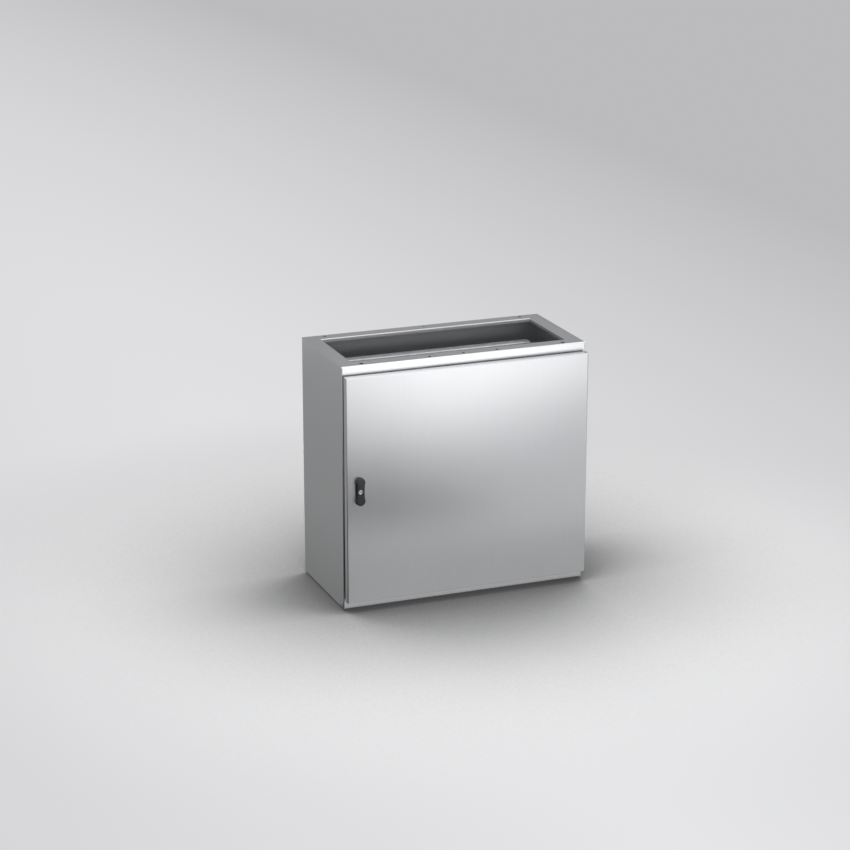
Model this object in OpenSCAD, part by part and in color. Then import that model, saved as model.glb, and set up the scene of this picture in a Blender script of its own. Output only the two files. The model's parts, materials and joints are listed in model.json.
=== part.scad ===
// Console enclosure, lower section: a folded stainless cabinet with an open top,
// a surface-mounted door and a rod lock. Origin on the floor, under the middle of the cabinet.
// X runs to the right, Y runs from the door to the rear, Z is up.

/* [Body] */
// Width across the side panels
body_w = 600; // [500:10:1000]
// Height from the bottom edge to the top flange
body_h = 580; // [480:10:1000]
// Depth from the front frame to the rear panel
body_d = 277; // [240:1:500]
// Thickness of the stainless sheet
sheet = 1.5; // [1:0.1:2]
// Outside radius of the bends in the sheet
bend_r = 2.5; // [2.4:0.1:3]
// Width of the side panels' return round the rear corners
rear_return = 15; // [10:1:25]

/* [Top and base] */
// Width of the flange turned in at the top and the base
flange_w = 36; // [34:1:45]
// Depth of the lip turned down round the open top
lip_drop = 8; // [5:1:12]
// Height of the front band above the door
top_band = 21; // [18:1:40]
// Height of the front band below the door
bottom_band = 22; // [18:1:40]
// Diameter of the corner holes that join sections
joint_d = 9; // [6:0.5:11]
// Distance of the joining holes from the sides
joint_side = 52; // [40:1:70]
// Distance of the joining holes from the front and the rear
joint_edge = 13; // [10:0.5:14]
// Diameter of the small holes in the top flange
small_d = 6.5; // [4:0.5:8]
// Spacing of the small holes in the front of the top flange
small_pitch = 83; // [50:1:100]

/* [Gland plate] */
// Thickness of the gland plate
gland_t = 2; // [1.5:0.5:3]
// Thickness of the seal above the gland plate
gland_seal_t = 2; // [1:0.5:4]
// How far the gland plate laps the base flange
gland_lap = 13; // [12:0.5:15]
// Corner radius of the gland plate
gland_corner = 4; // [2:1:8]

/* [Fasteners] */
// Thread diameter of the plate, bracket and gland fasteners
bolt_d = 6; // [5:1:6]
// Height of the hexagon nuts
nut_h = 5; // [4:0.5:6]
// Height of the pan heads
head_h = 3.6; // [2:0.2:5]
// Thread diameter of the earth studs
earth_d = 8; // [6:1:8]
// Length of the earth studs
earth_length = 18; // [15:1:22]

/* [Mounting plate] */
// Thickness of the mounting plate
plate_t = 2; // [1.5:0.5:3]
// Gap between the plate's edge and the outside of the cabinet
plate_side = 25; // [23:1:32]
// Drop of the plate's upper edge below the top
plate_drop = 50; // [45:1:90]
// Height of the plate's lower edge above the bottom edge
plate_lift = 53; // [45:1:90]
// Distance of the plate's face behind the front frame
plate_setback = 214; // [120:1:220]
// Depth of the folds along the upper and lower edges
plate_fold = 25; // [15:1:30]
// Length of plate left unfolded at each end
fold_end = 20; // [10:1:40]

/* [Plate rails and brackets] */
// Height of a rail
rail_h = 30; // [26:1:40]
// Distance of the rails from the plate's upper and lower edges
rail_inset = 100; // [60:5:150]
// Clearance between a rail and the plate's edge
rail_clear = 3.5; // [3:0.5:5]
// Distance of the rails from the front frame
rail_front = 40; // [30:1:80]
// Distance of the rails from the rear panel
rail_rear = 10; // [5:1:30]
// Spacing of the holes along a rail
rail_pitch = 25; // [20:1:50]
// Thickness of the plate brackets
bracket_t = 2; // [1.5:0.5:3]
// Length of the legs of the plate brackets
bracket_leg = 28; // [26:1:32]
// Height of the plate brackets
bracket_h = 24; // [20:1:30]

/* [Door] */
// Inset of the door from each side of the cabinet
door_side_gap = 2; // [1:0.5:4]
// Gap between the door's edge and the front frame
door_gap = 7.5; // [7:0.5:9]
// Depth of the door's turned-in edges
door_return = 15.5; // [15:0.5:17]

/* [Sealing] */
// Distance from the door's edge to the door opening
seal_inset = 16; // [16:0.5:17]
// Reach of the sealing lip in front of the front frame
lip_out = 9; // [8:0.5:9.5]
// Width of the door gasket
gasket_w = 6; // [4:0.5:6]
// Gap between the gasket and the sealing lip
seal_gap = 0.3; // [0.2:0.1:0.5]

/* [Hinges] */
// Diameter of the hinge pins
pin_d = 4; // [3:0.5:4.5]
// Diameter of the hinge knuckles
knuckle_d = 8; // [7:0.5:8]
// Distance of the hinges from the top and the bottom of the door
hinge_inset = 100; // [70:5:160]
// Length of the knuckle on the cabinet
body_knuckle = 24; // [16:1:40]
// Length of each knuckle on the door
door_knuckle = 12; // [8:1:20]
// Play along the pin between two knuckles
knuckle_gap = 0.4; // [0.3:0.1:0.8]
// Thickness of the hinge leaf on the door
leaf_t = 2; // [1.5:0.5:2.5]
// Thickness of the hinge bracket's foot
foot_t = 3; // [2:0.5:3]
// Thickness of the hinge bracket's arm
arm_t = 4; // [3:0.5:4]
// Thread diameter of the hinge screws
hinge_screw_d = 5; // [4:0.5:5]

/* [Lock] */
// Distance of the lock from the door's edge
lock_edge = 31.5; // [31:0.5:60]
// Height of the escutcheon
escutcheon_h = 67; // [60:1:80]
// Width of the escutcheon's round ends
escutcheon_w = 22; // [20:1:25]
// Width of the escutcheon's waist
waist_w = 17; // [16:0.5:19]
// Thickness of the escutcheon
escutcheon_t = 8.5; // [7:0.5:12]
// Thickness of the seal behind the escutcheon
lock_seal_t = 0.8; // [0.5:0.1:1.5]
// Diameter of the lock core
core_d = 12.5; // [12:0.5:14]
// Diameter of the core where it passes through the door
barrel_d = 10; // [9:0.5:10]
// Diameter of the spindle
spindle_d = 8; // [7.7:0.1:8.5]
// Thread diameter of the lock screws
lock_screw_d = 5; // [4:0.5:5]
// Wall of the lock case
case_wall = 1.2; // [1:0.1:1.2]
// Height of the lock case
case_h = 60; // [58:1:80]
// Thickness of the lock cover
cover_t = 1.5; // [1:0.5:3]

/* [Rods] */
// Module of the pinion and the racks
gear_module = 1; // [0.9:0.05:1]
// Number of teeth on the pinion
gear_teeth = 14; // [12:2:16]
// Width of a rod
rod_w = 11; // [10:0.5:12]
// Thickness of a rod
rod_t = 4; // [3:0.5:6]
// Clearance between the rods and the front frame
rod_clear = 1.5; // [1.3:0.1:3]
// Gap between a drawn-in rod and the edge of the door opening
rod_gap = 2; // [1:0.5:4]
// Distance of the rod guides from the lock
guide_reach = 170; // [100:5:190]
// Height of a rod guide
guide_h = 16; // [10:1:30]

/* [Hidden] */
$fn = 64;

// Clearances
hole_gap = 0.25;
run_gap = 0.05;
slide_gap = 0.3;
overcut = 1;

// Fastener proportions, in thread diameters
nut_corner = 0.96;
nut_rise = 0.8;
pan_radius = 0.875;
socket_radius = 0.85;
// Thread left showing past a nut
thread_show = 1.5;

// Colours
stainless = "#b9bbbd";
galvanised = "#a9adb2";
zinc = "#c4c6c4";
black_foam = "#2a2a2a";
black_plastic = "#303030";
die_cast = "#8d8f92";
sides = [-1, 1];

// Cabinet
half_w = body_w / 2;
front = -body_d / 2;
back = body_d / 2;
bottom = gland_t + gland_seal_t;
top = bottom + body_h;
opening_w = body_w - 2 * flange_w;
opening_d = body_d - 2 * flange_w;
joint_x = half_w - joint_side;
joint_y = back - joint_edge;

// Door and door opening
door_w = body_w - 2 * door_side_gap;
door_low = bottom + bottom_band;
door_high = top - top_band;
door_h = door_high - door_low;
door_mid = (door_low + door_high) / 2;
door_front = front - door_gap - door_return;
door_inner = door_front + sheet;
open_half = door_w / 2 - seal_inset;
open_low = door_low + seal_inset;
open_high = door_high - seal_inset;
lip_front = front - lip_out;
gasket_t = lip_front - seal_gap - door_inner;
gasket_centre_w = 2 * open_half + sheet;
gasket_centre_h = open_high - open_low + sheet;

// Gland plate
gland_w = opening_w + 2 * gland_lap;
gland_d = opening_d + 2 * gland_lap;
gland_bolt_x = opening_w / 2 + gland_lap / 2;
gland_bolt_y = opening_d / 2 + gland_lap / 2;
gland_bolts = [
  for (x = [-1:1], y = [-1:1])
    if (x != 0 || y != 0)
      [x * gland_bolt_x, y * gland_bolt_y]
];

// Mounting plate, rails and brackets
plate_half = half_w - plate_side;
plate_low = bottom + plate_lift;
plate_high = top - plate_drop;
plate_front = front + plate_setback;
plate_back = plate_front + plate_t;
inner_bend = 1;
plate_bend_r = plate_t + inner_bend;
rail_face = plate_half + rail_clear;
rail_start = front + rail_front;
rail_end = back - sheet - rail_rear;
bracket_bend_r = bracket_t + inner_bend;
bracket_hole = bracket_leg * 0.57;
rail_hole_y = plate_back + bracket_hole;
plate_hole_x = rail_face - bracket_hole;

// Hinges
hinge_play = 0.5;
leaf_clear = 1;
axis_x = door_w / 2 - sheet - hinge_play - knuckle_d / 2;
axis_y = door_inner + leaf_t + leaf_clear + knuckle_d / 2;
foot_gap = 1;
foot_inner = open_half + bend_r + foot_gap;
foot_outer = half_w - bend_r - hinge_play;
foot_mid = (foot_inner + foot_outer) / 2;
foot_edge = hinge_screw_d * 1.8;
foot_screw = body_knuckle / 2 + foot_edge;
foot_h = 2 * (foot_screw + foot_edge);
hinge_screw_r = hinge_screw_d / 2;
hinge_nut_h = hinge_screw_d * nut_rise;
knuckle_base = body_knuckle / 2 + knuckle_gap;
knuckle_end = knuckle_base + door_knuckle;
pin_head_h = 2;
pin_head_d = pin_d * 1.75;
notch_play = 2;
notch_half = body_knuckle / 2 + notch_play;

// Lock and gears
lock_x = -door_w / 2 + lock_edge;
lock_face = door_front - lock_seal_t;
lobe_r = escutcheon_w / 2;
lobe_z = escutcheon_h / 2 - lobe_r;
waist_r = (lobe_z * lobe_z + waist_w * waist_w / 4 - lobe_r * lobe_r) / (2 * lobe_r - waist_w);
core_r = core_d / 2;
core_recess = 3;
bit_recess = 1;
core_rim = 2;
core_wall = 1;
head_back = lock_face - core_wall;
neck_wall = 1.75;
neck_r = barrel_d / 2 + neck_wall;
pitch_r = gear_module * gear_teeth / 2;
gear_pitch = PI * gear_module;
pressure = 25;
addendum = 0.9 * gear_module;
dedendum = 1.25 * gear_module;
tooth_gap = 0.1;
tooth_bite = 0.1;
flank_steps = 4;
rack_back = 2.75;
square_drive = spindle_d * 0.68;
tail_r = square_drive * 0.46;
tail_reach = 2.5;
clip_t = 1;
clip_rim = 2;
clip_slot = 1.5;

// Rods, in the lock's own frame
rod_front = front + sheet + rod_clear;
rod_back = rod_front + rod_t;
rack_outer = pitch_r + dedendum + rack_back;
shoulder_gap = 4;
shoulder_low = pitch_r + addendum + shoulder_gap;
shoulder_h = 8;
rack_low = pitch_r + 2.5 * shoulder_gap;
rod_end = open_high - rod_gap - door_mid;
tip_length = 16;
tip_wall = 1;
tip_end = 2;

// Lock case
channel_half = rack_outer + slide_gap;
case_half = channel_half + case_wall;
channel_floor = rod_front - slide_gap;
case_back = rod_back + slide_gap;
post_r = 2.2;
post_bite = 0.2;
post_inset = 6;
post_x = channel_half - post_r + post_bite;
post_z = case_h / 2 - post_inset;
cover_screw_d = 3;
cover_head_h = 1.8;
cover_head_r = 2.1;
cover_screw_depth = rod_t;
lock_screw_head = lock_screw_d;

// Rod guides
guide_edge = 5;
guide_half = rod_w / 2 + guide_edge;
guide_foot = 4;
guide_wall = 3;
guide_stud_d = 5;
guide_stud_length = 10;

// Earth studs
earth_inset = 60;
earth_nut_h = earth_d * nut_rise;
earth_washer_t = 1.6;

// Block between two opposite corners
module block(low, high) {
  translate(low)
    cube(high - low);
}

// Flat outline drawn in X and Z, made solid between two depths
module between(near, far) {
  translate([0, far, 0])
    rotate([90, 0, 0])
      linear_extrude(far - near)
        children();
}

// Drawn for the right side, mirrored for the left one
module on_side(side) {
  if (side > 0)
    children();
  else
    mirror([1, 0, 0])
      children();
}

// Quarter of a folded corner, in the quadrant that qx and qy name
module elbow(centre, qx, qy, r = bend_r, t = sheet) {
  translate(centre)
    intersection() {
      difference() {
        circle(r);
        circle(r - t);
      }
      translate([min(qx, 0) * r, min(qy, 0) * r])
        square(r);
    }
}

// Rectangle with round corners
module round_rectangle(w, h, r) {
  square([w - 2 * r, h], center = true);
  square([w, h - 2 * r], center = true);
  for (x = sides, y = sides)
    translate([x * (w / 2 - r), y * (h / 2 - r)])
      circle(r);
}

// Outline with its two upper corners rounded, its top at zero
module arch(w, h, r) {
  translate([-w / 2, -h])
    square([w, h - r]);
  translate([r - w / 2, -h])
    square([w - 2 * r, h]);
  for (side = sides)
    translate([side * (w / 2 - r), -r])
      circle(r);
}

// Outline of an opening with its two upper corners flared, its top at zero
module flare(w, h, r) {
  translate([-w / 2, -h])
    square([w, h + overcut]);
  difference() {
    translate([-w / 2 - r, -r])
      square([w + 2 * r, r + overcut]);
    for (side = sides)
      translate([side * (w / 2 + r), -r])
        circle(r);
  }
}

// Solid with the first outline seen along Y and the second one seen along X
module crossed(reach) {
  intersection() {
    rotate([90, 0, 0])
      linear_extrude(reach, center = true)
        children(0);
    rotate([90, 0, 90])
      linear_extrude(reach, center = true)
        children(1);
  }
}

// Slab with its upper edges rounded
module cushion(w, d, h, r) {
  crossed(2 * (w + d)) {
    arch(w, h, r);
    arch(d, h, r);
  }
}

// Rectangular opening that flares at its upper edge
module funnel(w, d, h, r) {
  crossed(2 * (w + d)) {
    flare(w, h, r);
    flare(d, h, r);
  }
}

// Hexagon nut standing on its face
module hex_nut(d, h) {
  difference() {
    cylinder(r = d * nut_corner, h = h, $fn = 6);
    translate([0, 0, -overcut])
      cylinder(d = d + 2 * hole_gap, h = h + 2 * overcut);
  }
}

// Pan-head screw with its seat at the origin and its thread running up
module pan_screw(d, length) {
  translate([0, 0, -head_h]) {
    cylinder(r = d * pan_radius, h = head_h);
    cylinder(d = d, h = head_h + length);
  }
}

// Front frame beside an opening's edge, with its sealing lip turned forward
module front_rail(rise) {
  rotate([90, 0, 90])
    linear_extrude(2 * (open_half + sheet), center = true) {
      translate([front, bend_r])
        square([sheet, rise - bend_r]);
      elbow([front + sheet - bend_r, bend_r], 1, -1);
      translate([lip_front, 0])
        square([front + sheet - bend_r - lip_front, sheet]);
    }
  for (side = sides)
    on_side(side)
      block([open_half, front, 0], [half_w - bend_r, front + sheet, rise]);
}

// Wall of a side panel with its rounded corners and its return at the rear
module side_outline() {
  translate([half_w - sheet, front + bend_r])
    square([sheet, body_d - 2 * bend_r]);
  elbow([half_w - bend_r, front + bend_r], 1, -1);
  elbow([half_w - bend_r, back - bend_r], 1, 1);
  translate([half_w - rear_return, back - sheet])
    square([rear_return - bend_r, sheet]);
}

// Folded side panel, with its front flange and sealing lip beside the door opening
module side_sheet() {
  translate([0, 0, bottom + bend_r])
    linear_extrude(body_h - 2 * bend_r)
      side_outline();
  translate([0, 0, open_low])
    linear_extrude(open_high - open_low) {
      side_outline();
      translate([open_half + bend_r, front])
        square([half_w - open_half - 2 * bend_r, sheet]);
      elbow([open_half + bend_r, front + sheet - bend_r], -1, 1);
      translate([open_half, lip_front])
        square([sheet, front + sheet - bend_r - lip_front]);
    }
}

module left_side_panel() {
  color(stainless)
    on_side(-1)
      side_sheet();
}

// The right panel is drilled for the hinge screws
module right_side_panel() {
  color(stainless)
    difference() {
      side_sheet();
      at_hinge_screws()
        translate([0, 0, -overcut])
          cylinder(r = hinge_screw_r + hole_gap, h = sheet + 2 * overcut);
    }
}

module rear_panel() {
  color(stainless)
    block(
      [rear_return - half_w, back - sheet, bottom + bend_r],
      [half_w - rear_return, back, top - bend_r]
    );
}

// Flange with its outer bends, cut off below them except in front, where the front frame goes on.
// The child is what stays inside the flange's hollow.
module folded_ring(drop) {
  difference() {
    cushion(body_w, body_d, drop, bend_r);
    translate([0, 0, -sheet])
      difference() {
        cushion(body_w - 2 * sheet, body_d - 2 * sheet, drop, bend_r - sheet);
        children();
      }
    translate([0, 0, -drop - overcut])
      linear_extrude(drop + overcut - bend_r)
        difference() {
          square([body_w + 2 * overcut, body_d + 2 * overcut], center = true);
          translate([bend_r - half_w, -body_d])
            square([body_w - 2 * bend_r, body_d + back - 2 * bend_r]);
        }
  }
}

// Corner holes that join this section to its neighbours
module joint_holes(level) {
  for (x = sides, y = sides)
    translate([x * joint_x, y * joint_y, level])
      cylinder(d = joint_d, h = 2 * bend_r, center = true);
}

module top_frame() {
  color(stainless)
    difference() {
      union() {
        translate([0, 0, top])
          folded_ring(lip_drop)
            funnel(opening_w + 2 * sheet, opening_d + 2 * sheet, lip_drop + overcut, bend_r - sheet);
        translate([0, 0, open_high])
          front_rail(top - bend_r - open_high);
      }
      translate([0, 0, top])
        funnel(opening_w, opening_d, lip_drop + overcut, bend_r);
      joint_holes(top);
      for (x = [-1:1])
        translate([x * small_pitch, -joint_y, top])
          cylinder(d = small_d, h = 2 * bend_r, center = true);
      translate([0, joint_y, top])
        cylinder(d = small_d, h = 2 * bend_r, center = true);
    }
}

module base_frame() {
  color(stainless)
    difference() {
      union() {
        translate([0, 0, bottom])
          mirror([0, 0, 1])
            folded_ring(2 * bend_r);
        translate([0, 0, open_low])
          mirror([0, 0, 1])
            front_rail(open_low - bottom - bend_r);
      }
      translate([0, 0, bottom])
        cube([opening_w, opening_d, 2 * bend_r], center = true);
      joint_holes(bottom);
      for (at = gland_bolts)
        translate([at[0], at[1], bottom])
          cylinder(d = bolt_d + 2 * hole_gap, h = 2 * bend_r, center = true);
    }
}

module gland_plate() {
  color(galvanised)
    linear_extrude(gland_t)
      round_rectangle(gland_w, gland_d, gland_corner);
}

module gland_seal() {
  color(black_foam)
    translate([0, 0, gland_t])
      linear_extrude(gland_seal_t)
        difference() {
          round_rectangle(gland_w, gland_d, gland_corner);
          square([opening_w, opening_d], center = true);
          for (at = gland_bolts)
            translate(at)
              circle(d = bolt_d + 2 * hole_gap);
        }
}

// Studs stand on the gland plate and reach just through their nuts
module gland_studs() {
  color(zinc)
    for (at = gland_bolts)
      translate([at[0], at[1], gland_t])
        cylinder(d = bolt_d, h = gland_seal_t + sheet + nut_h + thread_show);
}

module gland_nuts() {
  color(zinc)
    for (at = gland_bolts)
      translate([at[0], at[1], bottom + sheet])
        hex_nut(bolt_d, nut_h);
}

// Height of the upper or the lower rails
function rail_level(level) = level > 0 ? plate_high - rail_inset : plate_low + rail_inset;

module mounting_plate() {
  fold_half = plate_half - fold_end;
  middle = (plate_low + plate_high) / 2;
  half_h = (plate_high - plate_low) / 2;
  color(galvanised)
    difference() {
      translate([0, 0, middle]) {
        block(
          [-plate_half, plate_front, plate_bend_r - half_h],
          [plate_half, plate_back, half_h - plate_bend_r]
        );
        rotate([90, 0, 90])
          linear_extrude(2 * fold_half, center = true) {
            translate([plate_front, plate_bend_r - half_h])
              square([plate_t, 2 * (half_h - plate_bend_r)]);
            for (level = sides) {
              elbow(
                [plate_front + plate_bend_r, level * (half_h - plate_bend_r)],
                -1, level, plate_bend_r, plate_t
              );
              translate([plate_front + plate_bend_r, level * (half_h - plate_t / 2) - plate_t / 2])
                square([plate_fold - plate_bend_r, plate_t]);
            }
          }
      }
      for (side = sides, level = sides)
        translate([side * plate_hole_x, 0, rail_level(level)])
          between(plate_front - overcut, plate_back + overcut)
            circle(d = bolt_d + 2 * hole_gap);
    }
}

// Channel on a side wall, open to the wall, with a row of holes along its web
module plate_rail(side, level) {
  first = ceil((rail_start + rail_h / 2 - rail_hole_y) / rail_pitch);
  last = floor((rail_end - rail_h / 2 - rail_hole_y) / rail_pitch);
  color(galvanised)
    on_side(side)
      translate([0, 0, rail_level(level)])
        difference() {
          between(rail_start, rail_end)
            difference() {
              translate([rail_face, -rail_h / 2])
                square([half_w - sheet - rail_face, rail_h]);
              translate([rail_face + sheet, sheet - rail_h / 2])
                square([half_w - rail_face, rail_h - 2 * sheet]);
            }
          for (step = [first:last])
            translate([rail_face - overcut, rail_hole_y + step * rail_pitch, 0])
              rotate([0, 90, 0])
                cylinder(d = bolt_d + 2 * hole_gap, h = sheet + 2 * overcut);
        }
}

// Angle behind the mounting plate, one leg on the rail and one on the plate
module plate_bracket(side, level) {
  straight = bracket_leg - bracket_bend_r;
  color(zinc)
    on_side(side)
      translate([0, 0, rail_level(level)])
        difference() {
          translate([0, 0, -bracket_h / 2])
            linear_extrude(bracket_h) {
              elbow(
                [rail_face - bracket_bend_r, plate_back + bracket_bend_r],
                1, -1, bracket_bend_r, bracket_t
              );
              translate([rail_face - bracket_t, plate_back + bracket_bend_r])
                square([bracket_t, straight]);
              translate([rail_face - bracket_leg, plate_back])
                square([straight, bracket_t]);
            }
          translate([rail_face - bracket_t - overcut, rail_hole_y, 0])
            rotate([0, 90, 0])
              cylinder(d = bolt_d + 2 * hole_gap, h = bracket_t + 2 * overcut);
          translate([plate_hole_x, 0, 0])
            between(plate_back - overcut, plate_back + bracket_t + overcut)
              circle(d = bolt_d + 2 * hole_gap);
        }
}

module at_plate_corners() {
  for (side = sides, level = sides)
    on_side(side)
      translate([0, 0, rail_level(level)])
        children();
}

module bracket_screws() {
  color(zinc)
    at_plate_corners()
      translate([rail_face - bracket_t, rail_hole_y, 0])
        rotate([0, 90, 0])
          pan_screw(bolt_d, bracket_t + sheet + nut_h + thread_show);
}

module bracket_nuts() {
  color(zinc)
    at_plate_corners()
      translate([rail_face + sheet, rail_hole_y, 0])
        rotate([0, 90, 0])
          hex_nut(bolt_d, nut_h);
}

module plate_screws() {
  color(zinc)
    at_plate_corners()
      translate([plate_hole_x, plate_front, 0])
        rotate([-90, 0, 0])
          pan_screw(bolt_d, plate_t + bracket_t + nut_h + thread_show);
}

module plate_nuts() {
  color(zinc)
    at_plate_corners()
      translate([plate_hole_x, plate_back + bracket_t, 0])
        rotate([-90, 0, 0])
          hex_nut(bolt_d, nut_h);
}

// Height of the upper or the lower hinge
function hinge_level(level) = level > 0 ? door_high - hinge_inset : door_low + hinge_inset;

module at_hinge_screws() {
  for (level = sides, end = sides)
    translate([foot_mid, front, hinge_level(level) + end * foot_screw])
      rotate([-90, 0, 0])
        children();
}

// Hinge half on the cabinet: a foot on the front flange, a leaning arm and one knuckle
module hinge_bracket(level) {
  pivot = [axis_x, axis_y];
  root = [foot_inner + arm_t * 0.75, front - foot_t / 2];
  lean = root - pivot;
  across = [-lean[1], lean[0]] * arm_t / (2 * norm(lean));
  color(zinc)
    difference() {
      translate([0, 0, hinge_level(level)]) {
        block([foot_inner, front - foot_t, -foot_h / 2], [foot_outer, front, foot_h / 2]);
        translate([0, 0, -body_knuckle / 2])
          linear_extrude(body_knuckle)
            difference() {
              union() {
                polygon([pivot + across, root + across, root - across, pivot - across]);
                translate(pivot)
                  circle(d = knuckle_d);
              }
              translate(pivot)
                circle(d = pin_d + 2 * run_gap);
            }
      }
      at_hinge_screws()
        translate([0, 0, -foot_t - overcut])
          cylinder(r = hinge_screw_r + hole_gap, h = foot_t + 2 * overcut);
      at_hinge_screws()
        translate([0, 0, -foot_t])
          cylinder(r1 = 2 * hinge_screw_r, r2 = 0, h = 2 * hinge_screw_r);
    }
}

// Countersunk screws, flush with the hinge bracket's foot
module hinge_screws() {
  sunk = hole_gap * 1.5;
  color(zinc)
    at_hinge_screws() {
      translate([0, 0, sunk - foot_t])
        cylinder(r1 = 2 * hinge_screw_r - sunk * 2, r2 = 0, h = 2 * hinge_screw_r - sunk * 2);
      translate([0, 0, sunk - foot_t])
        cylinder(r = hinge_screw_r, h = foot_t - sunk + sheet + hinge_nut_h + thread_show);
    }
}

module hinge_nuts() {
  color(zinc)
    at_hinge_screws()
      translate([0, 0, sheet])
        hex_nut(hinge_screw_d, hinge_nut_h);
}

// Earth stud, washer and nut, standing up from their seat
module earth_stud() {
  color(zinc)
    cylinder(d = earth_d, h = earth_length);
}

module earth_washer() {
  color(zinc)
    difference() {
      cylinder(d = earth_d * 2, h = earth_washer_t);
      translate([0, 0, -overcut])
        cylinder(d = earth_d + 2 * hole_gap, h = earth_washer_t + 2 * overcut);
    }
}

module earth_nut() {
  color(zinc)
    translate([0, 0, earth_washer_t])
      hex_nut(earth_d, earth_nut_h);
}

// Seat on the right wall, low down behind the front frame
module at_body_earth() {
  translate([half_w - sheet, front + earth_inset, bottom + earth_inset])
    rotate([0, -90, 0])
      children();
}

// Seat inside the door, low down on the hinge side
module at_door_earth() {
  translate([open_half - earth_inset, door_inner, door_low + earth_inset])
    rotate([-90, 0, 0])
      children();
}

// Door pan: face, rounded edges and returns, notched where the hinge arms pass
module door_panel() {
  color(stainless)
    difference() {
      translate([0, door_front, door_mid])
        rotate([90, 0, 0])
          difference() {
            cushion(door_w, door_h, door_return, bend_r);
            translate([0, 0, -sheet])
              cushion(door_w - 2 * sheet, door_h - 2 * sheet, door_return, bend_r - sheet);
          }
      for (level = sides)
        translate([0, 0, hinge_level(level)])
          block(
            [door_w / 2 - bend_r, door_front + bend_r, -notch_half],
            [door_w / 2 + overcut, front, notch_half]
          );
      translate([lock_x, 0, door_mid])
        between(door_front - overcut, door_inner + overcut) {
          circle(r = neck_r + hole_gap);
          for (end = sides)
            translate([0, end * lobe_z])
              circle(d = lock_screw_d + 2 * hole_gap);
        }
    }
}

module door_gasket() {
  outer_r = gasket_w;
  inner_r = gasket_w / 2;
  color(black_foam)
    translate([0, 0, door_mid])
      between(door_inner, door_inner + gasket_t)
        difference() {
          round_rectangle(gasket_centre_w + gasket_w, gasket_centre_h + gasket_w, outer_r);
          round_rectangle(gasket_centre_w - gasket_w, gasket_centre_h - gasket_w, inner_r);
        }
}

// Hinge half on the door: a welded leaf with a knuckle above and below the cabinet's one
module hinge_leaf(level) {
  web = knuckle_d - 2 * hinge_play;
  color(zinc)
    translate([axis_x, 0, hinge_level(level)]) {
      block([-knuckle_d / 2, door_inner, -knuckle_end], [web / 2, door_inner + leaf_t, knuckle_end]);
      for (end = sides)
        translate([0, 0, end * (knuckle_base + door_knuckle / 2)])
          linear_extrude(door_knuckle, center = true)
            difference() {
              union() {
                translate([-web / 2, door_inner])
                  square([web, axis_y - door_inner]);
                translate([0, axis_y])
                  circle(d = knuckle_d);
              }
              translate([0, axis_y])
                circle(d = pin_d + 2 * run_gap);
            }
    }
}

// Captive pin with a head on the upper knuckle
module hinge_pin(level) {
  color(zinc)
    translate([axis_x, axis_y, hinge_level(level)]) {
      translate([0, 0, -knuckle_end])
        cylinder(d = pin_d, h = 2 * knuckle_end + pin_head_h);
      translate([0, 0, knuckle_end])
        cylinder(d = pin_head_d, h = pin_head_h);
    }
}

// Waisted outline with two round ends
module waisted_outline(inset) {
  arc_x = waist_w / 2 + waist_r;
  reach = lobe_r / (waist_r + lobe_r);
  touch = [arc_x * reach, lobe_z * (1 - reach)];
  for (end = sides)
    translate([0, end * lobe_z])
      circle(r = lobe_r - inset);
  difference() {
    square(2 * touch, center = true);
    for (side = sides)
      translate([side * arc_x, 0])
        circle(r = waist_r + inset);
  }
}

module at_lock() {
  translate([lock_x, 0, door_mid])
    children();
}

// Waisted plate with a stepped rim, a bore for the core and a neck through the door
module lock_escutcheon() {
  rim = 1.5;
  rim_t = 2;
  outer = lock_face - escutcheon_t;
  color(black_plastic)
    at_lock()
      difference() {
        union() {
          between(outer + rim_t, lock_face)
            waisted_outline(0);
          between(outer, lock_face)
            waisted_outline(rim);
          between(outer + rim_t, door_inner)
            circle(r = neck_r);
        }
        between(outer - overcut, head_back + slide_gap)
          circle(r = core_r + run_gap);
        between(head_back, door_inner + overcut)
          circle(d = barrel_d + 2 * run_gap);
        for (end = sides)
          translate([0, 0, end * lobe_z])
            between(outer + rim_t, lock_face + overcut)
              circle(d = lock_screw_d + 2 * hole_gap);
      }
}

// Straight-sided seal, which shows beside the escutcheon's waist
module lock_seal() {
  seal_r = lobe_r - slide_gap;
  color(black_foam)
    at_lock()
      between(lock_face, door_front)
        difference() {
          union() {
            square([2 * seal_r, 2 * lobe_z], center = true);
            for (end = sides)
              translate([0, end * lobe_z])
                circle(r = seal_r);
          }
          circle(r = neck_r + hole_gap);
          for (end = sides)
            translate([0, end * lobe_z])
              circle(d = lock_screw_d + 2 * hole_gap);
        }
}

// Cast case with an open channel for the pinion and the racks
module lock_case() {
  color(die_cast)
    at_lock()
      difference() {
        union() {
          difference() {
            between(door_inner, case_back)
              square([2 * case_half, case_h], center = true);
            between(channel_floor, case_back + overcut)
              square([2 * channel_half, case_h + 2 * overcut], center = true);
          }
          for (end = sides)
            translate([end * post_x, 0, end * post_z])
              between(channel_floor - case_wall, case_back)
                circle(r = post_r);
        }
        between(door_inner - overcut, channel_floor + overcut)
          circle(d = spindle_d + 2 * run_gap);
        for (end = sides)
          translate([0, 0, end * lobe_z]) {
            between(door_inner - overcut, channel_floor + overcut)
              circle(d = lock_screw_d + 2 * hole_gap);
            between(channel_floor - lock_screw_head - slide_gap, channel_floor + overcut)
              circle(r = lock_screw_d * socket_radius + hole_gap);
          }
        for (end = sides)
          translate([end * post_x, 0, end * post_z])
            between(case_back - cover_screw_depth, case_back + overcut)
              circle(d = cover_screw_d + hole_gap);
      }
}

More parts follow.
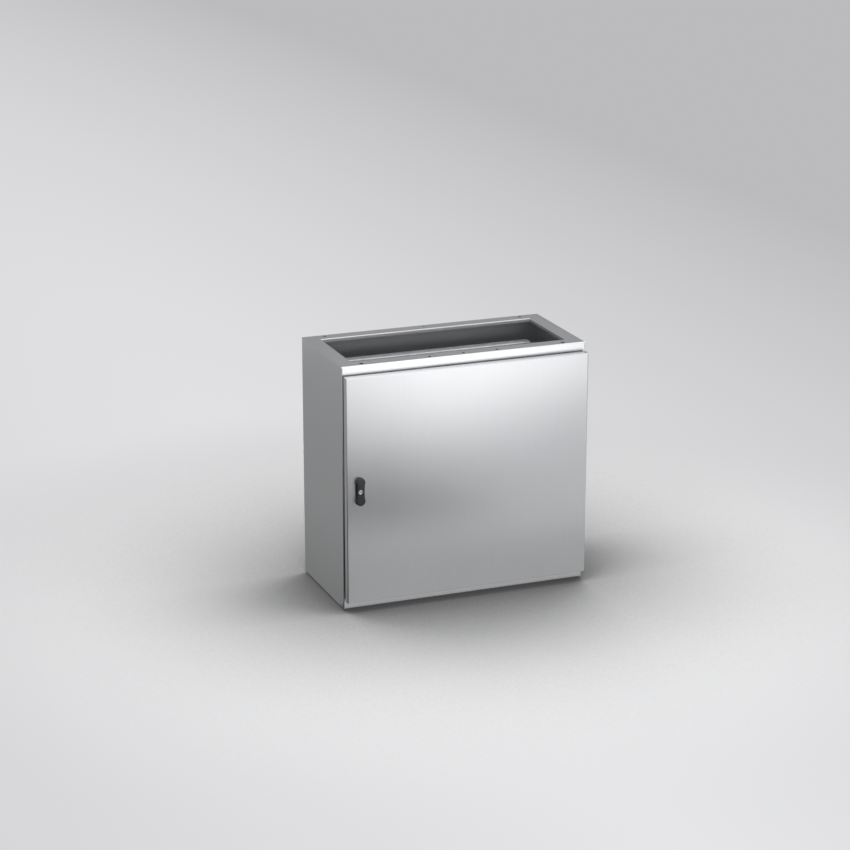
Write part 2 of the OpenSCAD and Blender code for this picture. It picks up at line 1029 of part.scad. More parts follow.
module lock_cover() {
  color(zinc)
    at_lock()
      between(case_back, case_back + cover_t)
        difference() {
          square([2 * case_half, case_h], center = true);
          circle(r = tail_r + run_gap);
          for (end = sides)
            translate([end * post_x, end * post_z])
              circle(d = cover_screw_d + 2 * hole_gap);
        }
}

// Screws from inside the case, through the door, into the escutcheon
module lock_screws() {
  seat = channel_floor - lock_screw_head - slide_gap;
  color(zinc)
    at_lock()
      for (end = sides)
        translate([0, 0, end * lobe_z]) {
          between(seat, seat + lock_screw_head)
            circle(r = lock_screw_d * socket_radius);
          between(lock_face - escutcheon_t / 2, seat + lock_screw_head)
            circle(d = lock_screw_d);
        }
}

module cover_screws() {
  seat = case_back + cover_t;
  color(zinc)
    at_lock()
      for (end = sides)
        translate([end * post_x, 0, end * post_z]) {
          between(seat, seat + cover_head_h)
            circle(r = cover_head_r);
          between(seat - cover_t - cover_screw_depth + hole_gap, seat + cover_head_h)
            circle(d = cover_screw_d);
        }
}

// Head with a recessed double-bit pin, round spindle, square drive and tail
module lock_core() {
  face = lock_face - escutcheon_t + core_recess;
  well_r = core_r - core_rim;
  well_depth = head_back - face - core_wall;
  bit_t = 3;
  bit_end = 0.5;
  color(zinc)
    at_lock() {
      difference() {
        union() {
          between(face, head_back)
            circle(r = core_r);
          between(head_back - core_wall, door_inner)
            circle(d = barrel_d);
        }
        between(face - overcut, face + well_depth)
          circle(r = well_r);
      }
      between(face + bit_recess, head_back) {
        circle(r = well_r / 2);
        square([2 * (well_r - bit_end), bit_t], center = true);
      }
      between(head_back, rod_front)
        circle(d = spindle_d);
      between(door_inner, rod_back)
        square(square_drive, center = true);
      between(rod_front, case_back + cover_t + tail_reach)
        circle(r = tail_r);
    }
}

// Half of a pinion tooth's angle at a given radius, on an involute of the pressure angle
function roll(angle) = tan(angle) * 180 / PI - angle;
base_r = pitch_r * cos(pressure);
half_tooth = 90 / gear_teeth - tooth_gap / pitch_r * 180 / PI + roll(pressure);
function tooth_angle(r) = half_tooth - roll(acos(min(1, base_r / r)));
function polar(r, angle) = [r * cos(angle), r * sin(angle)];
function tooth_points(centre) = let (
  flank = [for (step = [0:flank_steps]) base_r + (pitch_r + addendum - base_r) * step / flank_steps],
  root_r = pitch_r - dedendum
) concat(
  [polar(root_r, centre - tooth_angle(base_r))],
  [for (r = flank) polar(r, centre - tooth_angle(r))],
  [for (step = [flank_steps:-1:0]) polar(flank[step], centre + tooth_angle(flank[step]))],
  [polar(root_r, centre + tooth_angle(base_r))]
);

module drive_pinion() {
  color(die_cast)
    at_lock()
      between(rod_front, rod_back)
        difference() {
          polygon([for (tooth = [0:gear_teeth - 1]) each tooth_points(tooth * 360 / gear_teeth)]);
          square(square_drive + hole_gap, center = true);
        }
}

// Spring clip on the core's tail, behind the cover
module core_clip() {
  clip_seat = case_back + cover_t;
  color(zinc)
    at_lock()
      between(clip_seat, clip_seat + clip_t)
        difference() {
          circle(r = tail_r + clip_rim);
          circle(r = tail_r + run_gap);
          translate([0, -clip_slot / 2])
            square([tail_r + clip_rim + overcut, clip_slot]);
        }
}

// Flat rod in the lock's frame: toothed arm, shoulder and bar
module rod() {
  tooth_half = gear_pitch / 4 - tooth_gap;
  slope = tan(pressure);
  root_x = -pitch_r - dedendum;
  tip_x = -pitch_r + addendum;
  first = -floor(rack_low / gear_pitch);
  last = floor(shoulder_gap / gear_pitch);
  between(rod_front, rod_back) {
    translate([-rod_w / 2, shoulder_low])
      square([rod_w, rod_end - tip_end - shoulder_low]);
    translate([-rack_outer, shoulder_low])
      square([rack_outer, shoulder_h]);
    translate([-rack_outer, -rack_low])
      square([rack_outer + root_x, rack_low + shoulder_low]);
    for (step = [first:last])
      translate([0, (step + 0.5) * gear_pitch])
        polygon([
          [root_x - tooth_bite, -tooth_half - dedendum * slope],
          [root_x, -tooth_half - dedendum * slope],
          [tip_x, -tooth_half + addendum * slope],
          [tip_x, tooth_half - addendum * slope],
          [root_x, tooth_half + dedendum * slope],
          [root_x - tooth_bite, tooth_half + dedendum * slope]
        ]);
  }
}

// Moulded cap that slides behind the front frame
module rod_tip() {
  outer = rod_w / 2 + hole_gap + tip_wall;
  difference() {
    between(rod_front - tip_wall, rod_back + tip_wall)
      union() {
        translate([-outer, rod_end - tip_length])
          square([2 * outer, tip_length - tip_end]);
        translate([tip_end - outer, rod_end - tip_end])
          square([2 * (outer - tip_end), tip_end]);
        for (side = sides)
          translate([side * (outer - tip_end), rod_end - tip_end])
            circle(r = tip_end);
      }
    between(rod_front - hole_gap, rod_back + hole_gap)
      translate([-rod_w / 2 - hole_gap, rod_end - tip_length - overcut])
        square([rod_w + 2 * hole_gap, tip_length - tip_end + overcut]);
  }
}

// The lower rod is the upper one turned half round the lock's axis
module turned(level) {
  at_lock()
    rotate([0, level > 0 ? 0 : 180, 0])
      children();
}

module rod_guide(level) {
  head = rod_front - slide_gap - guide_wall;
  slot_half = rod_w / 2 + slide_gap;
  color(black_plastic)
    at_lock()
      translate([0, 0, level * guide_reach])
        difference() {
          union() {
            between(door_inner, door_inner + guide_foot)
              square([2 * guide_half, guide_h], center = true);
            between(door_inner, head + guide_wall)
              square([rod_w, guide_h], center = true);
            between(head, rod_back + slide_gap + guide_wall)
              square([2 * guide_half, guide_h], center = true);
          }
          between(rod_front - slide_gap, rod_back + slide_gap)
            square([2 * slot_half, guide_h + 2 * overcut], center = true);
          between(door_inner - overcut, door_inner + guide_stud_length + hole_gap)
            circle(d = guide_stud_d + 2 * hole_gap);
        }
}

module guide_studs() {
  color(zinc)
    at_lock()
      for (level = sides)
        translate([0, 0, level * guide_reach])
          between(door_inner, door_inner + guide_stud_length)
            circle(d = guide_stud_d);
}

left_side_panel();
right_side_panel();
rear_panel();
top_frame();
base_frame();
gland_plate();
gland_seal();
gland_studs();
gland_nuts();
mounting_plate();
plate_rail(-1, 1);  // plate_rail_left_upper
plate_rail(-1, -1);  // plate_rail_left_lower
plate_rail(1, 1);  // plate_rail_right_upper
plate_rail(1, -1);  // plate_rail_right_lower
plate_bracket(-1, 1);  // plate_bracket_left_upper
plate_bracket(-1, -1);  // plate_bracket_left_lower
plate_bracket(1, 1);  // plate_bracket_right_upper
plate_bracket(1, -1);  // plate_bracket_right_lower
bracket_screws();
bracket_nuts();
plate_screws();
plate_nuts();
hinge_bracket(1);  // upper_hinge_bracket
hinge_bracket(-1);  // lower_hinge_bracket
hinge_screws();
hinge_nuts();
at_body_earth() earth_stud();  // body_earth_stud
at_body_earth() earth_washer();  // body_earth_washer
at_body_earth() earth_nut();  // body_earth_nut
door_panel();
door_gasket();
hinge_leaf(1);  // upper_hinge_leaf
hinge_leaf(-1);  // lower_hinge_leaf
hinge_pin(1);  // upper_hinge_pin
hinge_pin(-1);  // lower_hinge_pin
lock_escutcheon();
lock_seal();
lock_case();
lock_cover();
lock_screws();
cover_screws();
rod_guide(1);  // upper_rod_guide
rod_guide(-1);  // lower_rod_guide
guide_studs();
at_door_earth() earth_stud();  // door_earth_stud
at_door_earth() earth_washer();  // door_earth_washer
at_door_earth() earth_nut();  // door_earth_nut
lock_core();
drive_pinion();
core_clip();
color(zinc) turned(1) rod();  // upper_rod
color(black_plastic) turned(1) rod_tip();  // upper_rod_tip
color(zinc) turned(-1) rod();  // lower_rod
color(black_plastic) turned(-1) rod_tip();  // lower_rod_tip
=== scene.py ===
import json
import math
import bpy
import bmesh
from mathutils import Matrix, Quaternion, Vector

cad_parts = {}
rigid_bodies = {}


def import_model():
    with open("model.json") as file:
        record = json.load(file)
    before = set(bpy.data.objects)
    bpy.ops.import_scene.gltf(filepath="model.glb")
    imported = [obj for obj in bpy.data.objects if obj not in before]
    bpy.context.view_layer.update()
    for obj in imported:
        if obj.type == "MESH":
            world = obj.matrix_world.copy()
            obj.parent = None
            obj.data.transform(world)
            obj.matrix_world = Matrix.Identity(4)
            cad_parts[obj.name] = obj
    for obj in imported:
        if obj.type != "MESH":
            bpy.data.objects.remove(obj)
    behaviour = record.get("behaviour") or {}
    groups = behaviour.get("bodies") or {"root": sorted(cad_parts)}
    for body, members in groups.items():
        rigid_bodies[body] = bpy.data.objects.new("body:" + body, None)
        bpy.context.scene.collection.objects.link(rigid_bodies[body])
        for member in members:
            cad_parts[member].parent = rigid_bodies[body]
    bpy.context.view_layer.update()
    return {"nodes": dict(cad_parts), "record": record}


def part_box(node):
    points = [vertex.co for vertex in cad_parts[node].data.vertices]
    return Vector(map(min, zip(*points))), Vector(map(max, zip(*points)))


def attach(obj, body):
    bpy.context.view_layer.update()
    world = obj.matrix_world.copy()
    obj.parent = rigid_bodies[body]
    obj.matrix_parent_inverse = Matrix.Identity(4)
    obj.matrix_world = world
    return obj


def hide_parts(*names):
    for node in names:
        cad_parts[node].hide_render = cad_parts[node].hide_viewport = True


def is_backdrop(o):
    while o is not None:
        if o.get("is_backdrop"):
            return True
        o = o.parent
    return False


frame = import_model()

cadNodes = frame["nodes"]
scene = bpy.context.scene
scene.view_settings.view_transform = "Standard"
mm = 0.001


def hexColor(code):
    channels = [int(code[i:i + 2], 16) / 255 for i in (1, 3, 5)]
    return tuple(c / 12.92 if c <= 0.04045 else ((c + 0.055) / 1.055) ** 2.4 for c in channels) + (1.0,)


# each input gets a link, a hex colour or a plain value
# a Mix node's inputs 2 and 3 are numbers, 4 and 5 vectors, 6 and 7 colours
def addNode(tree, kind, inputs=None, **settings):
    node = tree.nodes.new(kind)
    for name, value in settings.items():
        setattr(node, name, value)
    for key, value in (inputs or {}).items():
        if isinstance(value, bpy.types.NodeSocket):
            tree.links.new(value, node.inputs[key])
        elif isinstance(value, str) and value.startswith("#"):
            node.inputs[key].default_value = hexColor(value)
        else:
            node.inputs[key].default_value = value
    return node


def startMaterial(name):
    material = bpy.data.materials.new(name)
    material.use_nodes = True
    material.node_tree.nodes.clear()
    return material, material.node_tree


# camera at the photo's angle
viewPoint = {
    "eye": (-2.1248, -5.3232, 2.1432), "aim": (-0.0993, -0.1385, 0.4265), "farEnd": 200.0,  # m
    "lens": 108.156, "sensor": 36.0,  # mm
}

cameraData = bpy.data.cameras.new("photoCamera")
cameraData.lens = viewPoint["lens"]
cameraData.sensor_width = viewPoint["sensor"]
cameraData.clip_end = viewPoint["farEnd"]
camera = bpy.data.objects.new("photoCamera", cameraData)
camera.location = viewPoint["eye"]
camera.rotation_mode = "QUATERNION"
camera.rotation_quaternion = (Vector(viewPoint["aim"]) - camera.location).to_track_quat("-Z", "Y")
scene.collection.objects.link(camera)
scene.camera = camera

# studio: one wide pale sweep, soft lamps above, a card that only the object sees, and glowing mats that only
# the metal sees, painting reflections of shaded and lit floor
studio = {
    "floorHalf": 40.0, "floorDrop": 0.0003,  # m, just below the part so that no two faces coincide
    "paper": "#ececed",
    # the painted contact shadow darkens the paper towards this tone
    "shade": "#303031",
    "contact": 2.0, "depth": 3.2,  # m, reach and power of the painted contact shadow, deeper than the lamps alone would make it
    "paperGlow": 0.06,  # painted glow: light that the paper gives off by itself, so that no shadow is quite black
    "far": {"dark": "#bbbbbd", "light": "#e6e6e8", "centre": (-0.13, -1.23), "reach": (3.0, 20.9),
            "from": 0.7, "to": 1.5},  # m
    "skyTint": "#fdfdff",
    "skyTop": 0.8,  # how steeply a ray climbs, from 0 to 1, where it meets the zenith's level
    "skyTurn": (0.2, -0.4),  # a ray's share of +Y where the sky behind ends and the one in front begins
    "skyLight": (0.05, 0.08),  # horizon and zenith, as they light the floor
    "skyBehind": (0.325, 0.41),  # and as the metal shows them, behind the object
    "skyInFront": (1.2, 1.1),
    "lamps": [  # the paper has a lamp of its own, so that the metal throws no glints on it
        {"name": "paperSoftbox", "at": (0.0, -0.40, 2.2), "aim": (0.0, -0.40, 0.0), "size": (3.2, 3.2),
         "watts": 76.0, "lights": "paper", "roll": 0.0},
        {"name": "overheadSoftbox", "at": (0.10, 0.10, 2.2), "aim": (0.10, 0.10, 0.0), "size": (2.5, 2.5),
         "watts": 20.0, "lights": "object", "roll": 0.0},
        {"name": "frontCard", "at": (0.22, -1.24, 0.61), "aim": (-0.11, -0.38, 0.61), "size": (0.62, 1.1),
         "watts": 2.5, "lights": "object", "roll": 33.0},
    ],
    "matHeight": 0.001,  # m
    "mats": [  # glowing sheets that only the metal sees, painted reflections of shaded and lit floor: low corner, high corner, glow levels to the left and the right of a fade that wide
        {"name": "sideMat", "low": (-1.5, -0.10), "high": (-0.302, 2.2),
         "level": (0.385, 0.28), "fade": 0.28},
        {"name": "doorMat", "low": (-0.5, -1.25), "high": (0.26, -0.72),
         "level": (0.14, 0.14), "fade": 0.1},
        {"name": "cornerMat", "low": (-1.7, -1.2), "high": (-0.51, -0.11),
         "level": (0.02, 0.02), "fade": 0.1},
        {"name": "frontMat", "low": (0.0, -3.2), "high": (1.9, -1.7),
         "level": (1.35, 1.35), "fade": 0.1},
        {"name": "baseMat", "low": (-0.30, -0.50), "high": (0.70, -0.15),
         "level": (0.54, 0.54), "fade": 0.1},
        {"name": "edgeMat", "low": (-0.51, -0.71), "high": (-0.31, -0.11),
         "level": (0.02, 0.02), "fade": 0.1},
    ],
}


# 1 for the rays that show the backdrop: to the camera, in metal and through glass
def shownRays(tree):
    rays = addNode(tree, "ShaderNodeLightPath").outputs
    seen = addNode(tree, "ShaderNodeMath", {0: rays["Is Camera Ray"], 1: rays["Is Glossy Ray"]},
                   operation="MAXIMUM")
    seen = addNode(tree, "ShaderNodeMath", {0: seen.outputs[0], 1: rays["Is Transmission Ray"]},
                   operation="MAXIMUM")
    return seen.outputs[0]


def layFlat(name, low, high, level, material):
    (x0, y0), (x1, y1) = low, high
    mesh = bpy.data.meshes.new(name)
    corners = [(x0, y0, level), (x1, y0, level), (x1, y1, level), (x0, y1, level)]
    mesh.from_pydata(corners, [], [(0, 1, 2, 3)])
    mesh.materials.append(material)
    thing = bpy.data.objects.new(name, mesh)
    scene.collection.objects.link(thing)
    thing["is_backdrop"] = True
    return thing


# seamless matte paper: lit and shadowed round the object, with a painted contact shadow and a painted glow;
# towards its far end a glowing grey fade that paints the lamps' fall-off
def makeFloor(spec):
    material, tree = startMaterial("mattePaperSweep")
    place = addNode(tree, "ShaderNodeTexCoord").outputs["Object"]
    # painted contact shadow: the paper's colour darkens towards the shade tone where the object stands close
    close = addNode(tree, "ShaderNodeAmbientOcclusion", {"Distance": spec["contact"]}, samples=8)
    openness = addNode(tree, "ShaderNodeMath", {0: close.outputs["AO"], 1: spec["depth"]}, operation="POWER")
    tone = addNode(tree, "ShaderNodeMix", {"Factor": openness.outputs[0], 6: spec["shade"], 7: spec["paper"]},
                   data_type="RGBA")
    paper = addNode(tree, "ShaderNodeBsdfDiffuse", {"Color": tone.outputs[2]})
    # painted glow, which lifts the paper's shade
    paperGlow = addNode(tree, "ShaderNodeEmission", {"Strength": spec["paperGlow"]})
    paper = addNode(tree, "ShaderNodeAddShader", {0: paper.outputs[0], 1: paperGlow.outputs[0]})
    # painted light: further out the paper glows, lighter round a spot in front and darker away from it, for
    # the camera and the metal
    far = spec["far"]
    (midX, midY), (reachX, reachY) = far["centre"], far["reach"]
    spread = addNode(tree, "ShaderNodeMapping", {
        "Vector": place, "Scale": (1 / reachX, 1 / reachY, 1.0),
        "Location": (-midX / reachX, -midY / reachY, 0.0)})
    ball = addNode(tree, "ShaderNodeTexGradient", {"Vector": spread.outputs[0]}, gradient_type="SPHERICAL")
    tone = addNode(tree, "ShaderNodeMix", {"Factor": ball.outputs[1], 6: far["dark"], 7: far["light"]},
                   data_type="RGBA")
    fade = addNode(tree, "ShaderNodeEmission", {"Color": tone.outputs[2]})
    away = addNode(tree, "ShaderNodeVectorMath", {0: place}, operation="LENGTH")
    share = addNode(tree, "ShaderNodeMapRange", {"Value": away.outputs["Value"], "From Min": far["from"],
                                                 "From Max": far["to"]}, interpolation_type="SMOOTHSTEP")
    part = addNode(tree, "ShaderNodeMath", {0: shownRays(tree), 1: share.outputs[0]}, operation="MULTIPLY")
    blend = addNode(tree, "ShaderNodeMixShader", {0: part.outputs[0], 1: paper.outputs[0],
                                                  2: fade.outputs[0]})
    addNode(tree, "ShaderNodeOutputMaterial", {"Surface": blend.outputs[0]})
    half = spec["floorHalf"]
    layFlat("studioFloor", (-half, -half), (half, half), -spec["floorDrop"], material)


# glowing sheets hidden from the camera, from diffuse light and from shadows: the metal shows them as painted
# reflections
def makeMats(spec):
    for mat in spec["mats"]:
        edge, (left, right) = mat["high"][0], mat["level"]
        material, tree = startMaterial(mat["name"])
        place = addNode(tree, "ShaderNodeTexCoord").outputs["Object"]
        spot = addNode(tree, "ShaderNodeSeparateXYZ", {0: place})
        level = addNode(tree, "ShaderNodeMapRange", {
            "Value": spot.outputs["X"], "From Min": edge - mat["fade"], "From Max": edge,
            "To Min": left, "To Max": right})
        glow = addNode(tree, "ShaderNodeEmission", {"Strength": level.outputs[0]})
        addNode(tree, "ShaderNodeOutputMaterial", {"Surface": glow.outputs[0]})
        thing = layFlat(mat["name"], mat["low"], mat["high"], spec["matHeight"], material)
        thing.visible_camera = thing.visible_diffuse = thing.visible_shadow = False


def makeSky(spec):
    world = bpy.data.worlds.new("studioSky")
    world.use_nodes = True
    tree = world.node_tree
    tree.nodes.clear()
    way = addNode(tree, "ShaderNodeTexCoord").outputs["Generated"]
    way = addNode(tree, "ShaderNodeSeparateXYZ", {0: way}).outputs
    lighting, behind, inFront = [
        addNode(tree, "ShaderNodeMapRange", {"Value": way["Z"], "From Max": spec["skyTop"],
                                             "To Min": horizon, "To Max": zenith}).outputs[0]
        for horizon, zenith in (spec["skyLight"], spec["skyBehind"], spec["skyInFront"])]
    turnStart, turnEnd = spec["skyTurn"]
    forward = addNode(tree, "ShaderNodeMapRange", {"Value": way["Y"], "From Min": turnStart,
                                                   "From Max": turnEnd})
    shown = addNode(tree, "ShaderNodeMix", {"Factor": forward.outputs[0], 2: behind, 3: inFront})
    level = addNode(tree, "ShaderNodeMix", {"Factor": shownRays(tree), 2: lighting, 3: shown.outputs[0]})
    sky = addNode(tree, "ShaderNodeBackground", {"Color": spec["skyTint"], "Strength": level.outputs[0]})
    addNode(tree, "ShaderNodeOutputWorld", {"Surface": sky.outputs[0]})
    scene.world = world


def makeLamps(spec):
    lit = {name: bpy.data.collections.new(name + "Lit") for name in ("paper", "object")}
    for thing in scene.objects:
        if thing.type == "MESH":
            lit["paper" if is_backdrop(thing) else "object"].objects.link(thing)
    for lamp in spec["lamps"]:
        data = bpy.data.lights.new(lamp["name"], "AREA")
        data.shape = "RECTANGLE"
        data.size, data.size_y = lamp["size"]
        data.energy = lamp["watts"]
        holder = bpy.data.objects.new(lamp["name"], data)
        holder.location = lamp["at"]
        holder.rotation_mode = "QUATERNION"
        holder.rotation_quaternion = (Vector(lamp["aim"]) - holder.location).to_track_quat("-Z", "Y")
        holder.rotation_quaternion @= Quaternion((0, 0, 1), math.radians(lamp["roll"]))
        holder.visible_camera = False
        scene.collection.objects.link(holder)
        holder.light_linking.receiver_collection = lit[lamp["lights"]]


makeFloor(studio)
makeMats(studio)
makeSky(studio)
print("stage: camera and sweep")

noiseSpan = (0.3, 0.7)  # most of a noise pattern's values lie between these


# how often a pattern that is this many mm wide repeats in a metre
def perMetre(width):
    return 1 / (width * mm)


# the end of most finishes: two tones, a spread of roughness and a shallow relief, each from a pattern
def endMaterial(tree, look, tone, gloss, relief, span=noiseSpan):
    color = addNode(tree, "ShaderNodeMix", {"Factor": tone, 6: look["dark"], 7: look["light"]},
                    data_type="RGBA")
    strength, deep = look["relief"]
    bump = addNode(tree, "ShaderNodeBump", {"Height": relief, "Strength": strength, "Distance": deep * mm})
    surface = {"Base Color": color.outputs[2], "Normal": bump.outputs[0], **look["even"]}
    if gloss is not None:
        low, high = look["roughness"]
        rough = addNode(tree, "ShaderNodeMapRange", {"Value": gloss, "From Min": span[0], "From Max": span[1],
                                                     "To Min": low, "To Max": high})
        surface["Roughness"] = rough.outputs[0]
    shader = addNode(tree, "ShaderNodeBsdfPrincipled", surface)
    addNode(tree, "ShaderNodeOutputMaterial", {"Surface": shader.outputs["BSDF"]})


# in each look, relief is a strength and a depth in mm, and even is what is the same all over the surface
steelLook = {
    "dark": "#c3c4c6", "light": "#d0d1d2",
    "grainWidth": 1.6,  # mm, drawn about ten times coarser than the real grit so that it shows
    "grainLength": 160.0,  # mm
    "cloudSize": 180.0, "cloudShare": 0.35,  # mm
    "roughness": (0.29, 0.35), "stretch": 0.6,  # stretch is how far the grain draws reflections out
    "relief": (0.06, 0.4),
    # the mill skin inside: rougher and less metallic, its tone also painted darker as shade inside the
    # cabinet and the door
    "mill": "#b4b5b7", "millRoughness": 0.55, "millMetal": 0.93,
    "cut": "#161617", "cutMargin": 0.3,  # mm, painted shade: each hole and this wide a ring round it take the dark tone
}
# mm, middle of the sheet round the cabinet and the door: what lies inside was never ground, and takes the
# mill tone, which also carries painted shade
insideOf = {
    "cabinet": ((-299.25, -137.75, 4.75), (299.25, 137.75, 583.25)),
    "door": ((-297.25, -160.75, 26.75), (297.25, -140.0, 562.25)),
}


# Cold-rolled stainless sheet, ground with a belt: even grey metal with long soft streaks that
# blur reflections across the grain. grainAxis is the way the belt ran. Inside, the mill's dull skin is left,
# and its tone also carries painted shade or painted light, as the look sets it.
def brushedStainless(name, look, grainAxis, inside, holes=()):
    material, tree = startMaterial(name)
    place = addNode(tree, "ShaderNodeTexCoord").outputs["Object"]

    def streaks(axis):
        scale = [perMetre(look["grainWidth"])] * 3
        scale["xyz".index(axis)] = perMetre(look["grainLength"])
        turned = addNode(tree, "ShaderNodeMapping", {"Vector": place, "Scale": scale})
        return addNode(tree, "ShaderNodeTexNoise", {"Vector": turned.outputs[0], "Scale": 1.0, "Detail": 3.0,
                                                    "Roughness": 0.65}).outputs[0]

    if grainAxis == "mitred":
        # a frame welded from four bars: each bar keeps its own grain up to the mitre
        spot = addNode(tree, "ShaderNodeSeparateXYZ", {0: place})
        fromEdge = []
        for axis, edge in zip("XY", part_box("top_frame")[1]):
            far = addNode(tree, "ShaderNodeMath", {0: spot.outputs[axis]}, operation="ABSOLUTE")
            near = addNode(tree, "ShaderNodeMath", {0: edge, 1: far.outputs[0]}, operation="SUBTRACT")
            fromEdge.append(near.outputs[0])
        onSide = addNode(tree, "ShaderNodeMath", {0: fromEdge[0], 1: fromEdge[1]}, operation="LESS_THAN")
        pick = addNode(tree, "ShaderNodeMix", {"Factor": onSide.outputs[0], 2: streaks("x"), 3: streaks("y")})
        grain = pick.outputs[0]
    else:
        grain = streaks(grainAxis)
    cloud = addNode(tree, "ShaderNodeTexNoise", {"Vector": place, "Scale": perMetre(look["cloudSize"]),
                                                 "Detail": 2.0})
    both = addNode(tree, "ShaderNodeMix", {"Factor": look["cloudShare"], 2: grain, 3: cloud.outputs[0]})
    low, high = look["roughness"]
    rough = addNode(tree, "ShaderNodeMapRange", {"Value": both.outputs[0], "From Min": noiseSpan[0],
                                                 "From Max": noiseSpan[1], "To Min": low, "To Max": high})
    # how far a point lies outside the box in the middle of the sheet, less than 0 inside it
    low, high = (Vector(corner) * mm for corner in inside)
    off = addNode(tree, "ShaderNodeVectorMath", {0: place, 1: (low + high) / 2}, operation="SUBTRACT")
    off = addNode(tree, "ShaderNodeVectorMath", {0: off.outputs[0]}, operation="ABSOLUTE")
    off = addNode(tree, "ShaderNodeVectorMath", {0: off.outputs[0], 1: (high - low) / 2},
                  operation="SUBTRACT")
    past = addNode(tree, "ShaderNodeSeparateXYZ", {0: off.outputs[0]}).outputs
    most = addNode(tree, "ShaderNodeMath", {0: past["X"], 1: past["Y"]}, operation="MAXIMUM")
    most = addNode(tree, "ShaderNodeMath", {0: most.outputs[0], 1: past["Z"]}, operation="MAXIMUM")
    dull = addNode(tree, "ShaderNodeMath", {0: most.outputs[0], 1: 0.0}, operation="LESS_THAN").outputs[0]
    finish = addNode(tree, "ShaderNodeMix", {"Factor": dull, 2: rough.outputs[0], 3: look["millRoughness"]})
    metal = addNode(tree, "ShaderNodeMapRange", {"Value": dull, "To Min": 1.0, "To Max": look["millMetal"]})
    strength, deep = look["relief"]
    bump = addNode(tree, "ShaderNodeBump", {"Height": grain, "Strength": strength, "Distance": deep * mm})
    tone = addNode(tree, "ShaderNodeMix", {"Factor": both.outputs[0], 6: look["dark"], 7: look["light"]},
                   data_type="RGBA")
    # inside, the mill tone: the dull skin's colour with painted shade, or on the top frame's lips painted
    # light
    tone = addNode(tree, "ShaderNodeMix", {"Factor": dull, 6: tone.outputs[2], 7: look["mill"]},
                   data_type="RGBA")
    flat = addNode(tree, "ShaderNodeVectorMath", {0: place, 1: (1, 1, 0)}, operation="MULTIPLY")
    # painted shade: each hole and a thin ring round it take the dark hole tone
    for x, y, radius in holes:
        away = addNode(tree, "ShaderNodeVectorMath", {0: flat.outputs[0], 1: (x * mm, y * mm, 0)},
                       operation="DISTANCE")
        reach = (radius + look["cutMargin"]) * mm
        cut = addNode(tree, "ShaderNodeMath", {0: away.outputs["Value"], 1: reach}, operation="LESS_THAN")
        tone = addNode(tree, "ShaderNodeMix", {"Factor": cut.outputs[0], 6: tone.outputs[2], 7: look["cut"]},
                       data_type="RGBA")
    shader = addNode(tree, "ShaderNodeBsdfPrincipled", {
        "Base Color": tone.outputs[2], "Metallic": metal.outputs[0],
        "Roughness": finish.outputs[0], "Normal": bump.outputs[0],
        "Anisotropic": 0.0 if grainAxis == "mitred" else look["stretch"]})
    addNode(tree, "ShaderNodeOutputMaterial", {"Surface": shader.outputs["BSDF"]})
    return material


galvanisedLook = {
    "dark": "#c8ccce", "light": "#dfe1e2",
    "spangle": 11.0, "frost": 1.111, "frostShare": 0.3,  # mm
    "wander": 8.333, "wanderShare": 0.012,  # mm, what bends the crystals' edges
    "roughness": (0.46, 0.62), "relief": (0.08, 0.3),
    "even": {"Metallic": 0.7},  # the zinc's white oxide film takes away part of the metal's mirror
}


# Hot-dip galvanised sheet: zinc frozen in flat crystals, each throwing the light a little differently.
def galvanisedSheet(look):
    material, tree = startMaterial("hotDipGalvanisedSheet")
    place = addNode(tree, "ShaderNodeTexCoord").outputs["Object"]
    wander = addNode(tree, "ShaderNodeTexNoise", {"Vector": place, "Scale": perMetre(look["wander"]),
                                                  "Detail": 2.0})
    bent = addNode(tree, "ShaderNodeMix", {"Factor": look["wanderShare"], 4: place,
                                           5: wander.outputs["Color"]}, data_type="VECTOR")
    crystals = addNode(tree, "ShaderNodeTexVoronoi", {"Vector": bent.outputs[1],
                                                      "Scale": perMetre(look["spangle"])})
    shade = addNode(tree, "ShaderNodeSeparateXYZ", {0: crystals.outputs["Color"]}).outputs
    frost = addNode(tree, "ShaderNodeTexNoise", {"Vector": place, "Scale": perMetre(look["frost"]),
                                                 "Detail": 3.0})
    both = addNode(tree, "ShaderNodeMix", {"Factor": look["frostShare"], 2: shade["X"], 3: frost.outputs[0]})
    wholeSpan = (0.0, 1.0)  # a crystal's shade may have any value, unlike a noise
    endMaterial(tree, look, both.outputs[0], shade["Y"], both.outputs[0], wholeSpan)
    return material


platedLook = {
    "dark": "#b4b9c0", "light": "#cfd2d2",
    "stain": 14.0, "skin": 0.6667,  # mm
    "roughness": (0.24, 0.36), "relief": (0.05, 0.2),
    "even": {"Metallic": 1.0},
}


# Turned or pressed steel with bright zinc plating: clean silver with a faint blue passivation bloom.
def zincPlatedSteel(look):
    material, tree = startMaterial("brightZincPlatedSteel")
    place = addNode(tree, "ShaderNodeTexCoord").outputs["Object"]
    stain = addNode(tree, "ShaderNodeTexNoise", {"Vector": place, "Scale": perMetre(look["stain"]),
                                                 "Detail": 4.0})
    skin = addNode(tree, "ShaderNodeTexNoise", {"Vector": place, "Scale": perMetre(look["skin"]),
                                                "Detail": 2.0})
    endMaterial(tree, look, stain.outputs[0], stain.outputs[0], skin.outputs[0])
    return material


castLook = {
    "dark": "#84878b", "light": "#9a9da0",
    "grit": 1.4,  # mm
    "roughness": (0.42, 0.58), "relief": (0.18, 0.3),
    "even": {"Metallic": 1.0},
}


